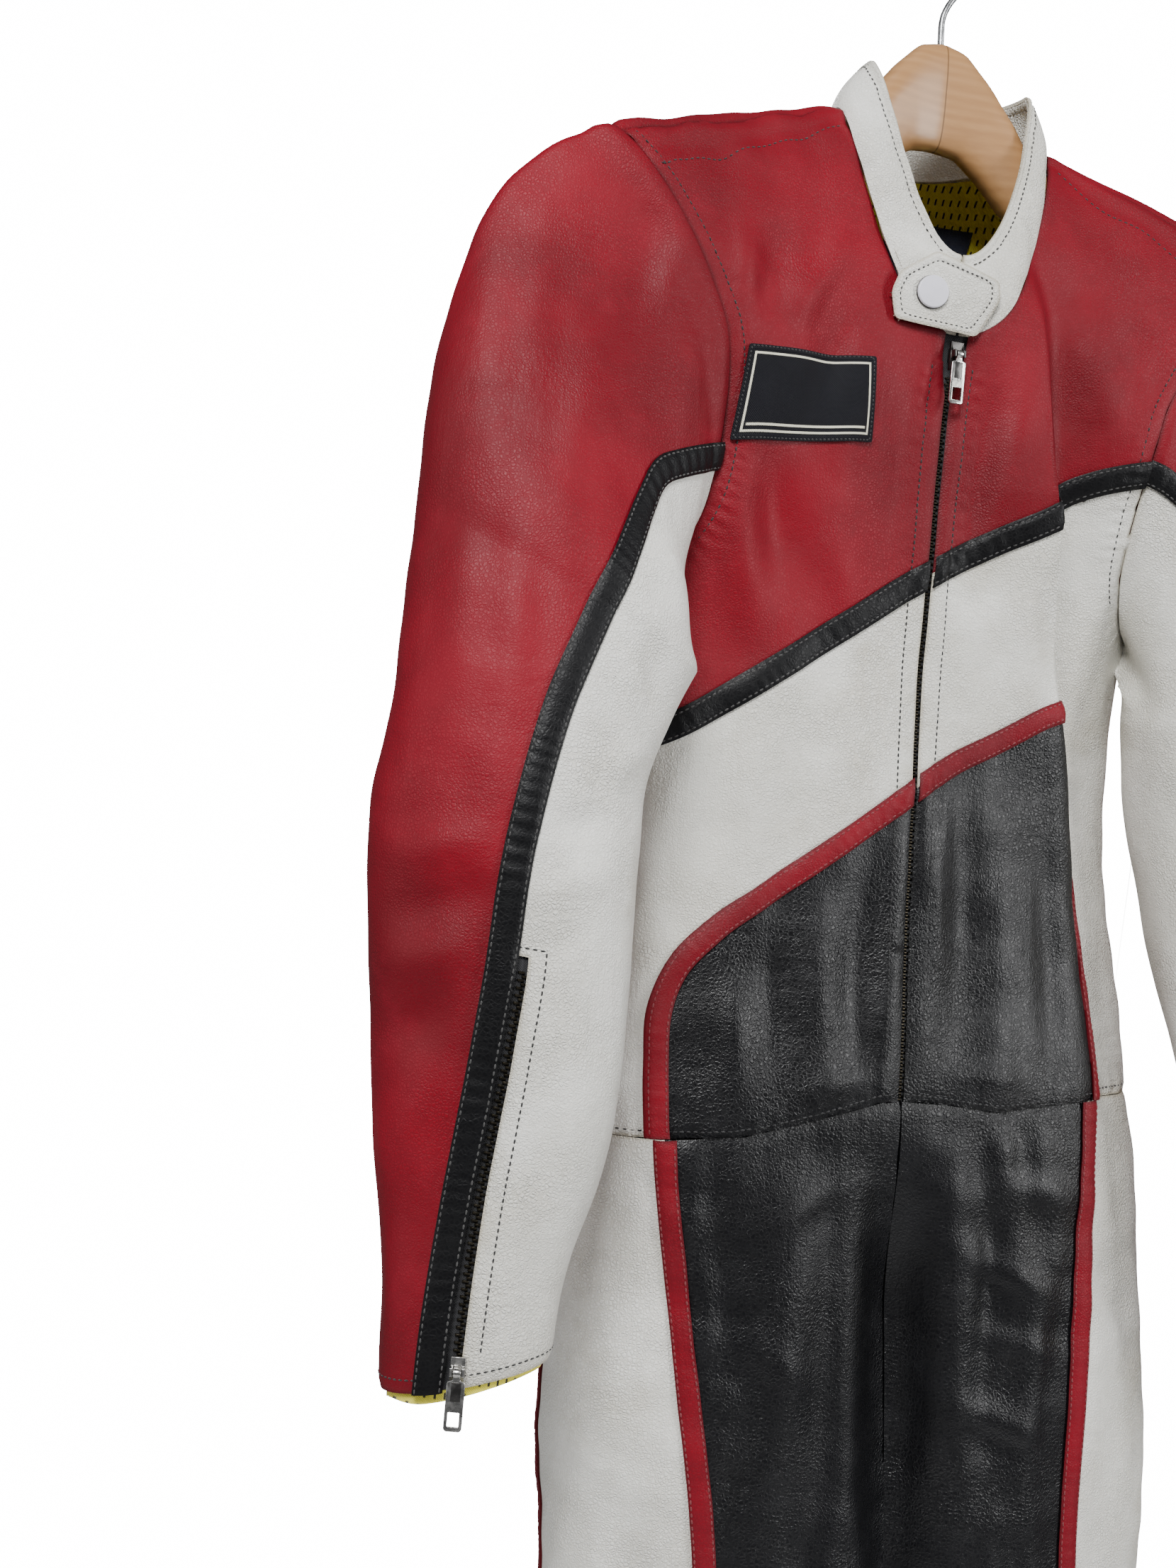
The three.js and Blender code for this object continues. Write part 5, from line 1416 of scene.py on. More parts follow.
def seam_relief(cloth):
    """A welt along the shoulder seam, and small puckers beside the armholes and the zip."""
    x, y, z = cloth.points.T
    above = np.interp(x, SHOULDER_SEAM[:, 0], SHOULDER_SEAM[:, 1])
    from_seam = np.where(z > SEAM_MEETING, above - y, 99)
    lift = 1.3 * np.exp(-(((from_seam - 2.5) / 1.7) ** 2)) - 0.7 * np.exp(-(((from_seam - 6.5) / 1.2) ** 2))
    for side in (-1, 1):
        away, along = from_line(smooth_line(ARMHOLE_FRONT, 6) * np.array([side, 1]), x, z)
        away = np.abs(away)
        row = np.exp(-(((away - 6.5) / 1.1) ** 2))
        lift += -0.6 * row + 0.35 * np.sin(2 * np.pi * along / 6.2) * np.exp(-(((away - 9) / 5) ** 2))
    beside_zip = np.abs(x)
    zip_pucker = 0.25 * np.sin(2 * np.pi * z / 9 + 1.5 * np.sin(z / 21))
    flap = 1.1 * np.exp(-(((beside_zip - 6.0) / 3.4) ** 2))
    flap -= 0.7 * np.exp(-(((beside_zip - 11.2) / 1.2) ** 2))
    flap += (0.5 + zip_pucker) * np.exp(-(((beside_zip - 15.0) / 2.4) ** 2))
    lift += flap * (z < -134)
    above_seam = np.abs(above_waist(cloth.points))
    lift += 0.5 * np.sin(x / 1.9 + np.sin(x / 11)) * np.exp(-((above_seam / 9) ** 2)) * (z < -480)
    return cloth.moved(lift)


def make_body():
    made = {}
    for word, cloth in sides.items():
        cloth = seam_relief(cloth)
        red = cloth.cut(to_line(cloth, black_line))
        rest = cloth.cut(-to_line(cloth, black_line))
        white = rest.cut(to_line(rest, red_line))
        black = rest.cut(-to_line(rest, red_line))
        made[f"front_{word}_red"] = sew(f"front_{word}_red_hide", red, RED, f"front_{word}_red")
        made[f"front_{word}_white"] = sew(f"front_{word}_white_hide", white, WHITE, f"front_{word}_white")
        made[f"front_{word}_black"] = sew(f"front_{word}_black_hide", black, BLACK, f"front_{word}_black")
        made[f"strip_black_{word}"] = strip_over(
            f"black_band_{word}", cloth, black_line, STRIPE_BLACK, BAND, f"strip_black_front_{word}", 0.20)
        made[f"strip_red_{word}"] = strip_over(
            f"red_band_{word}", cloth, red_line, STRIPE_RED, RED, f"strip_red_front_{word}", 0.13)
    upper = back.cut(back.points[:, 2] - BACK_SEAM_Z)
    lower = back.cut(BACK_SEAM_Z - back.points[:, 2])
    made["back_red"] = sew("back_red_hide", upper, RED, "back_red")
    made["back_white"] = sew("back_white_hide", lower, WHITE, "back_white")
    across = np.array([[260.0, BACK_SEAM_Z], [-260.0, BACK_SEAM_Z]])
    made["band_back"] = strip_over(
        "black_band_back", back, across, STRIPE_BLACK, BAND, "strip_black_back", 0.35)
    return made


body_made = make_body()


# The collar with its tab and snap


def make_collar():
    """The band, whose upper edge is bound and whose lower edge is tucked under the hide."""
    turns = (np.arange(240) + 0.5) / 240
    ups = np.concatenate([np.linspace(1, 0.86, 8), np.linspace(0.83, 0.0, 13), [-0.03, -0.06]])
    turn, up = np.meshgrid(turns, ups)
    grid = collar_point(turn, np.maximum(up, 0))
    sine, cosine = np.sin(2 * np.pi * turn), np.cos(2 * np.pi * turn)
    tuck = np.maximum(-up, 0)[..., None]
    grid = grid - tuck * np.stack([sine * 26, -cosine * 26, 0 * sine + 45], axis=-1)
    cloth = cloth_of(grid, closed=False)
    depth = (1 - up.ravel()) * 48
    binding = 1.3 * np.exp(-(((depth - 2.2) / 2.0) ** 2)) - 0.8 * np.exp(-(((depth - 5.2) / 1.0) ** 2))
    puckers = 0.3 * np.sin(turn.ravel() * 2 * np.pi * 118) * np.exp(-(((depth - 7) / 5) ** 2))
    cloth = cloth.moved(binding + puckers + slack(cloth.points, 30, 0.7, 4))
    return sew("collar_band", cloth, WHITE, "collar", thick=COLLAR_THICK, roll=0.4, bevel=0.9)


def cad_surface(node):
    return Surface([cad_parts[node]])


def within(cloth, corners):
    """The part of a cloth inside a convex outline of x, z that runs clockwise as seen from the front."""
    for a, b in zip(corners, np.roll(corners, -1, axis=0)):
        way = b - a
        value = way[1] * (cloth.points[:, 0] - a[0]) - way[0] * (cloth.points[:, 2] - a[1])
        cloth = cloth.cut(value / np.linalg.norm(way))
    return cloth


def tab_cloth():
    cad = cad_surface("collar_tab")
    xs = np.linspace(-37, 17, 19)
    depths = []
    for x in xs:
        place, _ = cad.seen(x, -103.0)
        depths.append(np.nan if place is None else place.y * 1000)
    known = ~np.isnan(depths)
    curve = np.polyfit(xs[known], np.array(depths)[known], 3)
    x, z = np.meshgrid(np.linspace(-42, 22, 54), np.linspace(-76, -124, 42))
    cloth = cloth_of(np.stack([x, np.polyval(curve, x), z], axis=-1), closed=False)
    return within(cloth, rounded(TAB_OUTLINE, 3.0)), curve


def rounded(outline, radius, steps=4):
    """An outline with its corners rounded."""
    made = []
    for before, corner, after in zip(np.roll(outline, 1, axis=0), outline, np.roll(outline, -1, axis=0)):
        start = corner + unit(before - corner) * radius
        end = corner + unit(after - corner) * radius
        for t in np.linspace(0, 1, steps):
            made.append((1 - t) ** 2 * start + 2 * t * (1 - t) * corner + t**2 * end)
    return np.array(made)


def inset(outline, by):
    """A convex outline that runs clockwise, moved in."""
    middle = outline.mean(axis=0)
    reach = np.linalg.norm(outline - middle, axis=1, keepdims=True)
    return middle + (outline - middle) * (1 - by / reach)


def closed_line(outline):
    return np.vstack([outline, outline[:1]])


collar = make_collar()
tab_shape, tab_curve = tab_cloth()
tab_rim = tab_shape.edge_distance()
tab_lift = 0.7 * np.exp(-(((tab_rim - 2) / 1.8) ** 2)) - 0.5 * np.exp(-(((tab_rim - 4.6) / 0.8) ** 2))
tab_shape = tab_shape.moved(tab_lift + slack(tab_shape.points, 22, 0.3, 6))
tab = sew("collar_tab_hide", tab_shape, WHITE, "collar_tab", thick=2.2, roll=0.5, bevel=0.8)


# The patch, the zip, the lining and the labels


def patch_cloth():
    cloth = sides["right"]
    corners = rounded(PATCH_OUTLINE, 1.2)
    near = (np.abs(cloth.points[:, 0] + 84) < 52) & (np.abs(cloth.points[:, 2] + 167) < 40)
    cloth = Cloth(cloth.points, cloth.normals, cloth.faces[near[cloth.faces].all(axis=1)]).packed()
    return within(cloth, corners).finer()


def patch_share(cloth):
    """u and v of each point of the patch, from its outer lower corner."""
    top_outer, top_inner, low_inner, low_outer = PATCH_OUTLINE
    at = cloth.points[:, [0, 2]]
    u = np.full(len(at), 0.5)
    v = np.full(len(at), 0.5)
    for _ in range(12):
        low = low_outer * (1 - u[:, None]) + low_inner * u[:, None]
        top = top_outer * (1 - u[:, None]) + top_inner * u[:, None]
        rise = top - low
        v = ((at - low) * rise).sum(axis=1) / (rise**2).sum(axis=1)
        start = low_outer * (1 - v[:, None]) + top_outer * v[:, None]
        end = low_inner * (1 - v[:, None]) + top_inner * v[:, None]
        run = end - start
        u = ((at - start) * run).sum(axis=1) / (run**2).sum(axis=1)
    return u, v


def patch_material():
    """A dark field with a pale stitched frame, double along the bottom."""
    m = Maker("patch_field")
    u, v = m.attribute("u"), m.attribute("v")
    side = m.math("MULTIPLY", m.math("MINIMUM", u, m.math("SUBTRACT", 1.0, u)), 78.0)
    top = m.math("MULTIPLY", m.math("SUBTRACT", 1.0, v), 46.0)
    bottom = m.math("MULTIPLY", v, 46.0)
    inner = m.math("MINIMUM", side, m.math("MINIMUM", top, bottom))
    frame_line = m.ramp(m.math("ABSOLUTE", m.math("SUBTRACT", inner, 4.2)), 0.45, 0.75, 1.0, 0.0)
    second = m.ramp(m.math("ABSOLUTE", m.math("SUBTRACT", bottom, 7.4)), 0.5, 0.8, 1.0, 0.0)
    second = m.math("MULTIPLY", second, m.ramp(side, 5.5, 6.5))
    line = m.math("MAXIMUM", frame_line, second)
    thread = m.math("SINE", m.math("MULTIPLY", m.math("ADD", m.split()[0], m.split()[2]), 5200.0))
    border = m.ramp(inner, 2.2, 2.8, 1.0, 0.0)
    dark = m.mix(m.noise(90.0), rgb(0.003, 0.003, 0.005), rgb(0.007, 0.007, 0.011))
    cream = m.mix(m.noise(160.0), rgb(0.66, 0.64, 0.50), rgb(0.80, 0.78, 0.64))
    height = m.math("MULTIPLY_ADD", m.math("MAXIMUM", line, border), 0.45, m.math("MULTIPLY", thread, 0.08))
    m.bump(height)
    return m.finish(Base_Color=m.mix(line, dark, cream), Roughness=0.6, Specular_IOR_Level=0.2)


def make_patch():
    cloth = patch_cloth()
    u, v = patch_share(cloth)
    return sew("chest_patch_field", cloth.moved(1.9), patch_material(), "chest_patch", thick=1.0, roll=0.3,
               marks={"u": u, "v": v})


patch = make_patch()


def make_tapes():
    tape = front.cut(10 - front.points[:, 0])
    tape = tape.cut(10 + tape.points[:, 0])
    tape = tape.cut(-116 - tape.points[:, 2])
    sew("main_zip_tape", tape.moved(-HIDE - 1.5), TAPE, "zip_tape", thick=0.8, roll=0.0)
    yoke = body.cut(body.points[:, 1] - 12)
    yoke = yoke.cut(yoke.points[:, 2] + 150)
    yoke = yoke.cut(118 - np.abs(yoke.points[:, 0]))
    sew("neck_lining", yoke.moved(-HIDE - 0.4), LINING, "lining_yoke", thick=0.8, roll=0.0)
    for name, node, outline, material in (
        ("neck_label_cloth", "neck_label", NECK_LABEL, NAVY),
        ("small_label_cloth", "size_label", SMALL_LABEL, PAPER),
    ):
        label = within(yoke, outline).finer()
        swell = 0.5 * np.sin(label.points[:, 0] / 9) + 0.4 * np.sin(label.points[:, 2] / 7)
        made = sew(name, label.moved(-HIDE - 2.4 + swell), material, node, thick=0.7, roll=0.0)
        if node == "neck_label":
            lines = spots_near_line(Surface([made]), closed_line(inset(outline, 2.5)))
            stitch_rows("neck_label_stitches", lines, BLACK_THREAD)


def spots_near_line(surface, line):
    """Spots on the inside of the back along a line of x, z."""
    return [[surface.nearest((x, 46.0, z)) for x, z in evenly(line, STITCH)]]


make_tapes()


# The trousers


PANTS_SPANS = (10, 34, 36, 46, 10)


def pants_rows():
    upper = np.arange(-500, -826, -CELL)
    return np.concatenate([upper, np.linspace(-830, -1530, 92)])


def pants_grid(side, line):
    z = pants_rows()
    seam_x = x_at(line, z)
    ones = np.ones(len(z))

    def past_front(share):
        return side * (pants_point(side, z, share, False)[:, 0] - seam_x) > 0

    def past_rear(share):
        return pants_point(side, z, share, False)[:, 1] > REAR_STRIPE_Y

    front_share = share_where(0 * ones, 0.5 * ones, past_front)
    rear_share = share_where(0.3 * ones, 0.9 * ones, past_rear)
    bounds = [(0.5 * ones, ones, True), (0 * ones, front_share, False), (front_share, rear_share, False),
              (rear_share, ones, False), (0 * ones, 0.5 * ones, True)]
    parts = []
    for (low, high, is_inner), spans in zip(bounds, PANTS_SPANS):
        f = np.arange(spans) / spans
        share = low[:, None] + (high - low)[:, None] * f
        parts.append(pants_point(side, z[:, None] + 0 * share, share, is_inner))
    return np.concatenate(parts, axis=1)


def panel_of(grid, first, last, mirrored, is_dropped=None):
    """The cloth between two columns of a tube's grid."""
    columns = np.arange(first, last + 1) % grid.shape[1]
    normals = cloth_of(grid, closed=True, mirrored=mirrored).normals.reshape(grid.shape)
    part = cloth_of(grid[:, columns], closed=False, mirrored=mirrored)
    part.normals = normals[:, columns].reshape(-1, 3)
    if is_dropped is not None:
        dropped = is_dropped(part.points)[part.faces].all(axis=1)
        part = Cloth(part.points, part.normals, part.faces[~dropped]).packed()
    return part


def band_grid(grid, normals, column, half, samples):
    """Points of a band of even width that lies along a column, and the way out at each."""
    count = grid.shape[1]
    reach = 9
    near = np.arange(column - reach, column + reach + 1) % count
    rows, ways = grid[:, near], normals[:, near]
    steps = np.linalg.norm(np.diff(rows, axis=1), axis=2)
    run = np.concatenate([np.zeros((len(rows), 1)), np.cumsum(steps, axis=1)], axis=1)
    run -= run[:, reach : reach + 1]
    offsets = np.linspace(-half, half, samples)
    points = np.stack([[np.interp(offsets, r, row[:, k]) for k in range(3)] for r, row in zip(run, rows)])
    out = np.stack([[np.interp(offsets, r, way[:, k]) for k in range(3)] for r, way in zip(run, ways)])
    return points.transpose(0, 2, 1), unit(out.transpose(0, 2, 1)), offsets


def refine_rows(grid, times):
    """The same grid with more rows."""
    at = np.linspace(0, len(grid) - 1, (len(grid) - 1) * times + 1)
    i = np.minimum(at.astype(int), len(grid) - 2)
    f = (at - i)[:, None, None]
    return grid[i] * (1 - f) + grid[i + 1] * f


def band_along(name, grid, normals, column, width, material, node, mirrored, pucker, trim=None, coarse=7.0):
    """A band sewn along a column of a tube."""
    half = width / 2
    points, out, offsets = band_grid(refine_rows(grid, 2), refine_rows(normals, 2), column, half, 11)
    cloth = cloth_of(points, closed=False, mirrored=mirrored)
    cloth.normals = out.reshape(-1, 3)
    along = run_of(points[:, 5])[:, None] + 0 * offsets
    cloth = cloth.moved(band_swell(np.abs(offsets), along, half, pucker, coarse, 0.8).ravel())
    if trim is not None:
        cloth = cloth.cut(trim(cloth.points))
    thing = sew_band(name, cloth, cloth, width, material, node)
    rails = [points[:, k] + out[:, k] * 2.0 for k in (1, 9)]
    return thing, rails


def below_waist(points):
    return -above_waist(points)


def make_pants():
    made = {}
    inner, front_span, side_span, back_span, _ = PANTS_SPANS
    for word, side, line in (("right", -1, LEG_LINE_RIGHT), ("left", 1, LEG_LINE_LEFT)):
        grid = pants_grid(side, smooth_line(line, 8))
        mirrored = side < 0
        whole = cloth_of(grid, closed=True, mirrored=mirrored)
        lift = LEG_SCALE * fold_lift(LEG_FOLDS, whole.points, whole.normals)
        lift += slack(whole.points, 80, 1.1, 2)
        lift += drape(whole.points, 28, 0.95, 12)
        grid = whole.moved(lift * ease(-whole.points[:, 2], 520, 545)).points.reshape(grid.shape)
        whole = cloth_of(grid, closed=True, mirrored=mirrored)
        normals = whole.normals.reshape(grid.shape)
        front_column = inner + front_span
        rear_column = front_column + side_span
        end = rear_column + back_span + inner

        def opened(points):
            centre = row_at(BODY, body_place(np.maximum(points[:, 2], CROTCH_Z)))[:, -1]
            inside = (points[:, 1] > -24) & (points[:, 1] < 56)
            return (points[:, 2] > CROTCH_Z + 4) & inside & (np.abs(points[:, 0] - centre) < 1.5)

        for part, first, last, material in (
            ("front", 0, front_column, BLACK),
            ("side", front_column, rear_column, WHITE),
            ("back", rear_column, end, BLACK),
        ):
            cloth = panel_of(grid, first, last, mirrored, opened)
            cloth = cloth.cut(below_waist(cloth.points))
            colour = "white" if part == "side" else "black"
            key = f"pants_{part}_{word}_{colour}"
            made[key] = sew(f"{key}_hide", cloth, material, key)
        for part, column in (("front", front_column), ("back", rear_column)):
            key = f"strip_red_leg_{part}_{word}"
            made[key], made[key + "_rails"] = band_along(
                f"red_band_leg_{part}_{word}", grid, normals, column, STRIPE_RED, RED, key, mirrored,
                0.16, below_waist)
    return made


pants_made = make_pants()


# The sleeves


SLEEVE_SPANS = (46, 38, 38)
REAR_SEAM, UNDER_SEAM = math.radians(-20), math.radians(232)
CAP_ROWS = 46


def sleeve_grid(rows, side, line):
    loop = armhole_loop(side)
    cap = np.linspace(0, 1, CAP_ROWS, endpoint=False)
    lower = np.interp(np.arange(280, 646.1, CELL), -rows[:, 0], np.arange(len(rows)))
    lower[-1] = len(rows) - 1

    def point(angle):
        """angle: rows by columns"""
        top = angle[:CAP_ROWS]
        low = angle[CAP_ROWS:]
        along = cap[:, None] + 0 * top
        return np.concatenate([
            cap_point(loop, rows, side, top, along),
            sleeve_ring(rows, lower[:, None] + 0 * low, side, low),
        ])

    def past(angle):
        p = point(angle[:, None])[:, 0]
        return -side * from_line(line, p[:, 0], p[:, 2])[0] > 0

    ones = np.ones(CAP_ROWS + len(lower))
    seam = share_where(0.25 * math.pi * ones, 0.85 * math.pi * ones, past)
    under, rear = UNDER_SEAM * ones, REAR_SEAM * ones
    bounds = [(rear, seam), (seam, under), (under, rear + 2 * math.pi)]
    angles = []
    for (low, high), spans in zip(bounds, SLEEVE_SPANS):
        angles.append(low[:, None] + (high - low)[:, None] * (np.arange(spans) / spans))
    return point(np.concatenate(angles, axis=1))


def make_sleeves():
    made = {}
    outer, inner, rear = SLEEVE_SPANS
    for word, side, rows, line in (
        ("right", -1, SLEEVE_RIGHT, SLEEVE_LINE_RIGHT), ("left", 1, SLEEVE_LEFT, SLEEVE_LINE_LEFT),
    ):
        seam = smooth_line(line, 6)
        grid = sleeve_grid(rows, side, seam)
        mirrored = side > 0
        whole = cloth_of(grid, closed=True, mirrored=mirrored)
        lift = SLEEVE_SCALE * fold_lift(SLEEVE_FOLDS, whole.points, whole.normals)
        lift += slack(whole.points, 60, 1.0, 3)
        lift += drape(whole.points, 30, 0.45, 13)
        row = np.repeat(np.arange(len(grid)), grid.shape[1])
        seam_roll = 1.5 * np.exp(-(((row - 1.6) / 1.2) ** 2)) - 0.5 * np.exp(-(((row - 4.2) / 1.2) ** 2))
        grid = whole.moved(lift * ease(row, 0, 7) + seam_roll).points.reshape(grid.shape)
        whole = cloth_of(grid, closed=True, mirrored=mirrored)
        normals = whole.normals.reshape(grid.shape)
        outer_cloth = panel_of(grid, 0, outer, mirrored)
        inner_cloth = panel_of(grid, outer, outer + inner, mirrored)
        rear_cloth = panel_of(grid, outer + inner, outer + inner + rear, mirrored)
        away = np.abs(to_line(inner_cloth, seam))
        above_cuff = inner_cloth.points[:, 2] - CUFF_TOP
        inner_cloth = inner_cloth.cut(np.maximum(away - CUFF_SHIFT - 1.3, above_cuff))
        key = f"sleeve_outer_{word}_red"
        made[key] = sew(f"{key}_hide", outer_cloth, RED, key)
        key = f"sleeve_inner_{word}_white"
        made[key] = sew(f"{key}_hide", inner_cloth, WHITE, key)
        key = f"sleeve_back_{word}_red"
        made[key] = sew(f"{key}_hide", rear_cloth, RED, key)
        key = f"strip_black_sleeve_{word}"
        made[key], made[key + "_rails"] = band_along(
            f"black_band_sleeve_{word}", grid, normals, outer, STRIPE_BLACK, BAND, key, mirrored, 0.26)
        made[word] = (grid, normals, seam, mirrored)
    return made


sleeves_made = make_sleeves()


# Tapes, teeth and linings of the cuffs


def make_cuffs():
    tooth = modelled_tooth(3.0, 1.1, 1.3)
    for word, side in (("right", -1), ("left", 1)):
        grid, _, seam, mirrored = sleeves_made[word]
        outer, inner, _ = SLEEVE_SPANS
        cloth = panel_of(grid, outer, outer + inner, mirrored)
        away = np.abs(to_line(cloth, seam))
        tape = cloth.cut(np.minimum(9 - np.abs(away - CUFF_SHIFT), CUFF_TOP + 4 - cloth.points[:, 2]))
        tape = tape.moved(-HIDE - 1.4)
        taped = sew(f"cuff_tape_{word}", tape, TAPE, f"cuff_zip_tape_{word}", thick=0.8, roll=0.0)
        line = offset_line(seam, side * -CUFF_SHIFT if side > 0 else CUFF_SHIFT)
        line = line[(line[:, 1] < CUFF_TOP - 2) & (line[:, 1] > -648)]
        for run in spots_seen(Surface([taped]), line, 1.7)[:1]:
            tooth_row(f"cuff_teeth_{word}", tooth, run, BRASS, f"cuff_zip_teeth_{word}", 0.9)
        hem = grid[-1]
        turn = np.arange(len(hem)) / len(hem) * 2 * np.pi
        drop = np.stack([0 * turn, 0 * turn, -4.5 - 1.2 * np.sin(3 * turn + 1)], axis=1)
        rows = np.stack([grid[-4], grid[-2], hem, hem + drop * 0.5, hem + drop])
        lining = cloth_of(rows, closed=True, mirrored=mirrored)
        lining = lining.moved(-HIDE - 2.4)
        sew(f"cuff_lining_{word}", lining, LINING, f"lining_cuff_{word}", thick=0.8, roll=0.3)
    bpy.data.objects.remove(tooth)


make_cuffs()


# Hard pieces


def copy_of(node, name, material):
    """A copy of a CAD node's mesh as a new piece, with its doubles merged."""
    thing = bpy.data.objects.new(name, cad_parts[node].data.copy())
    bpy.context.scene.collection.objects.link(thing)
    thing.data.materials.clear()
    thing.data.materials.append(material)
    edited(thing, bpy.ops.mesh.remove_doubles, threshold=1e-5)
    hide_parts(node)
    return thing


def make_hanger():
    bar = copy_of("hanger_wood", "wooden_hanger", WOOD)
    remesh = bar.modifiers.new("even", "REMESH")
    remesh.mode, remesh.voxel_size = "VOXEL", 0.0022
    soft = bar.modifiers.new("sanded", "SMOOTH")
    soft.factor, soft.iterations = 0.5, 10
    apply_all(bar)
    smooth(bar, 70)
    fitted(bar, "suit")
    route = bpy.data.curves.new("hook_route", "CURVE")
    route.dimensions, route.bevel_depth, route.bevel_resolution, route.use_fill_caps = "3D", 0.0018, 5, True
    middle, radius = NECK_DROP + 1.8 - 20, 20.0
    angles = np.radians([-5, 20, 45, 67, 90, 113, 135, 160, 180, 200])
    arc = np.stack([radius * np.cos(angles), 0 * angles, middle + radius * np.sin(angles)], axis=1)
    stem = np.array([[0, 0, 36], [0, 0, 50], [0, 0, 66], [5, 0, 77], [14, 0, 87.0]])
    points = in_frame(smooth_line(np.vstack([stem, arc]), 6))
    spline = route.splines.new("POLY")
    spline.points.add(len(points) - 1)
    spline.points.foreach_set("co", np.hstack([points, np.ones((len(points), 1))]).ravel())
    hook = bpy.data.objects.new("hook_wire", route)
    bpy.context.scene.collection.objects.link(hook)
    pick(hook)
    bpy.ops.object.convert(target="MESH")
    hook = bpy.context.active_object
    hook.data.materials.append(STEEL)
    smooth(hook, 60)
    fitted(hook, "suit", "hanger_hook")


def make_snap():
    """A flat cap with a rolled rim, which stands on a thin dark foot: a disc a little wider than the cap,
    which shows round it as painted shade under the rim.
    """
    low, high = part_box("snap_cap")
    middle = (Vector(low) + Vector(high)) / 2
    slope = np.polyval(np.polyder(tab_curve), -18.0)
    turn = Matrix.Rotation(math.atan(slope), 4, "Z") @ Matrix.Rotation(math.radians(90), 4, "X")
    for name, radius, depth, bevel, material, shift, node in (
        ("snap_button", 8.5, 2.0, 0.8, CAP, -0.1, "snap_cap"),
        # A dark gunmetal disc behind the cap, a little wider: a painted shadow ring round the cap.
        ("snap_shade_ring", 8.9, 0.7, 0.25, GUNMETAL, 1.0, None),
    ):
        bpy.ops.object.select_all(action="DESELECT")
        bpy.ops.mesh.primitive_cylinder_add(vertices=64, radius=radius / 1000, depth=depth / 1000)
        cap = bpy.context.active_object
        cap.name = name
        edited(cap, bpy.ops.mesh.bevel, offset=bevel / 1000, segments=4, affect="EDGES")
        out = turn @ Vector((0, 0, 1))
        cap.matrix_world = Matrix.Translation(middle - out * (shift / 1000)) @ turn
        bpy.ops.object.transform_apply(location=True, rotation=True, scale=True)
        cap.data.materials.append(material)
        smooth(cap, 40)
        fitted(cap, "suit", node)


def make_pulls():
    """Sliders and pull tabs with softened edges, and a dark sunk panel in each tab."""
    for slider, pull, body_name, tone in (
        ("zip_slider", "zip_pull", "main_pull", GUNMETAL),
        ("cuff_slider_right", "cuff_pull_right", "right_cuff_pull", NICKEL),
        ("cuff_slider_left", "cuff_pull_left", "left_cuff_pull", NICKEL),
    ):
        for node, on, finish in ((slider, "suit", tone), (pull, body_name, NICKEL)):
            thing = copy_of(node, f"{node}_metal", finish)
            bevel = thing.modifiers.new("soft_edges", "BEVEL")
            bevel.width, bevel.segments, bevel.limit_method = 0.00028, 2, "ANGLE"
            bevel.angle_limit = math.radians(40)
            apply_all(thing)
            smooth(thing, 35)
            fitted(thing, on)
        metal_surface = Surface([bpy.data.objects[f"{pull}_metal"]])
        low, high = (Vector(c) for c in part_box(pull))
        target = (low + high) / 2 + Vector((0, 0, 0.0035))
        start = Vector((target.x, -0.9, target.z))
        place, normal, _, _ = metal_surface.tree.ray_cast(start, Vector((0, 1, 0)))
        turn = normal.to_track_quat("-Y", "Z").to_matrix().to_4x4()
        bpy.ops.object.select_all(action="DESELECT")
        bpy.ops.mesh.primitive_cube_add(size=1)
        panel = bpy.context.active_object
        panel.name = f"{pull}_panel"
        panel.scale = (0.0044, 0.0004, 0.0085)
        bpy.ops.object.transform_apply(location=True, rotation=True, scale=True)
        edited(panel, bpy.ops.mesh.bevel, offset=0.00015, segments=2)
        panel.matrix_world = Matrix.Translation(place) @ turn
        bpy.ops.object.transform_apply(location=True, rotation=True, scale=True)
        panel.data.materials.append(GUNMETAL)
        smooth(panel, 40)
        fitted(panel, body_name)


make_hanger()
make_snap()
make_pulls()


# Teeth of the main zip, and the stitches


def make_main_teeth():
    tooth = modelled_tooth(2.6, 1.0, 1.2)
    taped = Surface([bpy.data.objects["main_zip_tape"]])
    line = np.array([[0.0, -141.0], [0.0, -521.0]])
    tooth_row("main_teeth", tooth, spots_seen(taped, line, 1.6)[0], BRASS, "zip_teeth", 0.6)
    bpy.data.objects.remove(tooth)


make_main_teeth()

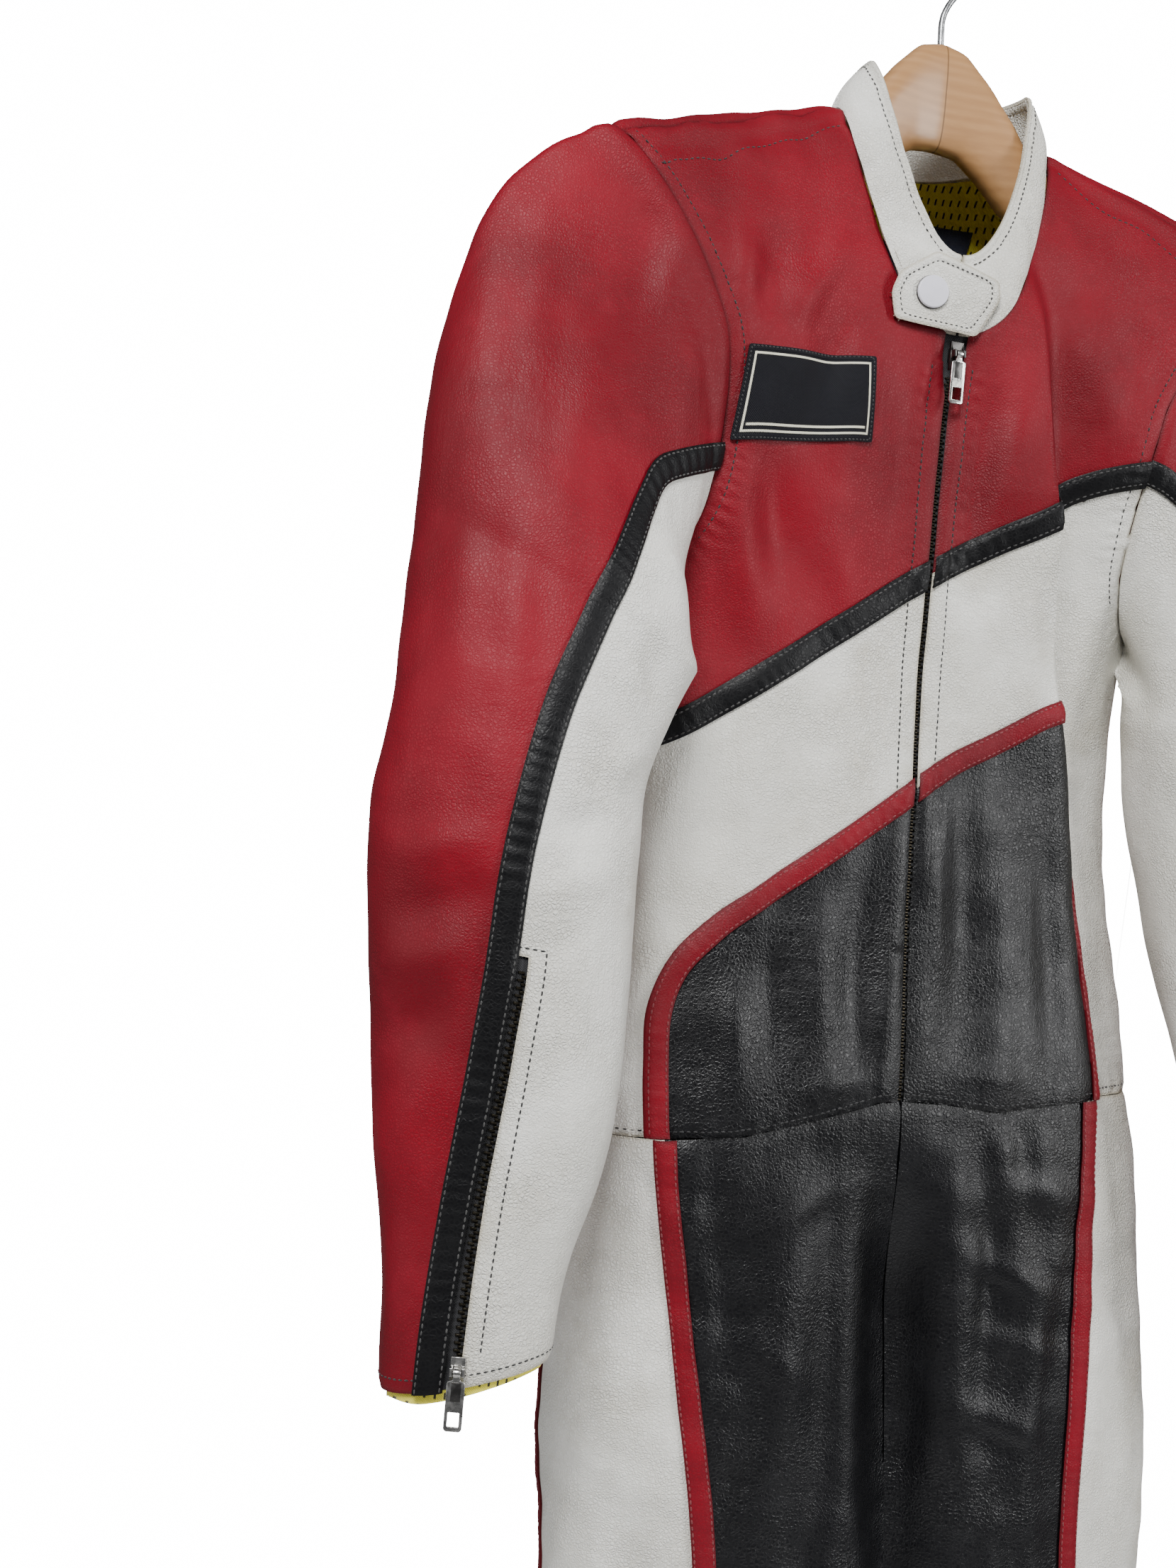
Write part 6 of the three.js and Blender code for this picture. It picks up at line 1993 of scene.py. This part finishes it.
fronts = Surface([thing for key, thing in body_made.items() if key.startswith("front")])
for word in ("right", "left"):
    black_band, red_band = (Surface([body_made[f"strip_{tone}_{word}"]]) for tone in ("black", "red"))
    black_runs = [run for shift in (-5, 5) for run in spots_seen(black_band, offset_line(black_line, shift))]
    stitch_rows(f"black_band_stitches_{word}", black_runs, GREY_THREAD)
    red_runs = [run for shift in (-4.2, 4.2) for run in spots_seen(red_band, offset_line(red_line, shift))]
    stitch_rows(f"red_band_stitches_{word}", red_runs, RED_THREAD)
    side = -1 if word == "right" else 1
    beside_zip = np.array([[side * 11.0, -136.0], [side * 11.0, -519.0]])
    scye = smooth_line(ARMHOLE_FRONT, 6) * np.array([side, 1])
    scye_inner = scye + np.array([-side * 7.5, 0])
    runs = spots_seen(fronts, beside_zip) + spots_seen(fronts, scye_inner[scye_inner[:, 1] > -245])
    stitch_rows(f"front_stitches_{word}", runs, BLACK_THREAD)
    grid, normals, seam, mirrored = sleeves_made[word]
    band = Surface([sleeves_made[f"strip_black_sleeve_{word}"]])
    rails = sleeves_made[f"strip_black_sleeve_{word}_rails"]
    runs = [run for rail in rails for run in spots_near(band, rail)]
    stitch_rows(f"sleeve_band_stitches_{word}", runs, GREY_THREAD)
    cuffs = Surface([sleeves_made[f"sleeve_{part}_{word}_{tone}"] for part, tone in (
        ("outer", "red"), ("inner", "white"), ("back", "red"))])
    hem = np.vstack([grid[-3], grid[-3][:1]]) + 0.0
    placket = offset_line(seam, (CUFF_SHIFT + 9) * -side)
    placket = placket[(placket[:, 1] < CUFF_TOP + 6) & (placket[:, 1] > -640)]
    top = np.array([placket[0], placket[0] + np.array([side * 18.0, 2.0])])
    runs = spots_near(cuffs, hem) + spots_seen(cuffs, placket) + spots_seen(cuffs, top)
    stitch_rows(f"cuff_stitches_{word}", runs, BLACK_THREAD)
    for part in ("front", "back"):
        key = f"strip_red_leg_{part}_{word}"
        band = Surface([pants_made[key]])
        runs = []
        for rail in pants_made[key + "_rails"]:
            rail = rail[below_waist(rail) > 2]
            runs += spots_near(band, rail)
        stitch_rows(f"leg_band_stitches_{part}_{word}", runs, RED_THREAD)

shoulder_runs = []
for side in (-1, 1):
    line = evenly(np.array([[side * 66.0, -22.0], [side * 125.0, -36.0], [side * 186.0, -50.0]]), STITCH)
    run = []
    for x, y in line:
        start = Vector(in_frame([x, y, 60.0]))
        place, normal, _, _ = fronts.tree.ray_cast(start, Vector((0, 0, -1)), 0.3)
        if place is not None:
            run.append((place, normal))
    shoulder_runs.append(run)
stitch_rows("shoulder_stitches", shoulder_runs, BLACK_THREAD)
waist = evenly(smooth_line(WAIST_LINE, 6), STITCH)
waist = waist[np.abs(waist[:, 0]) < 190]
stitch_rows("waist_stitches", spots_seen(fronts, waist + np.array([0, 3.5])), BLACK_THREAD)
ring_turns = np.linspace(0.015, 0.985, 700)
bound = collar_point(ring_turns, np.full(700, 0.895))
outward = np.stack([np.sin(2 * np.pi * ring_turns), -np.cos(2 * np.pi * ring_turns), 0 * ring_turns], axis=1)
stitch_rows("collar_stitches", spots_near(Surface([collar]), bound + outward * 3), GREY_THREAD)
tab_line = closed_line(inset(rounded(TAB_OUTLINE, 3.0), 4.6))
stitch_rows("tab_stitches", spots_seen(Surface([tab]), tab_line, 2.8), GREY_THREAD, length=1.8)
patch_line = closed_line(inset(PATCH_OUTLINE, 1.6))
stitch_rows("patch_stitches", spots_seen(Surface([patch]), patch_line, 2.2), BLACK_THREAD, length=1.5)

set_camera()
set_studio()
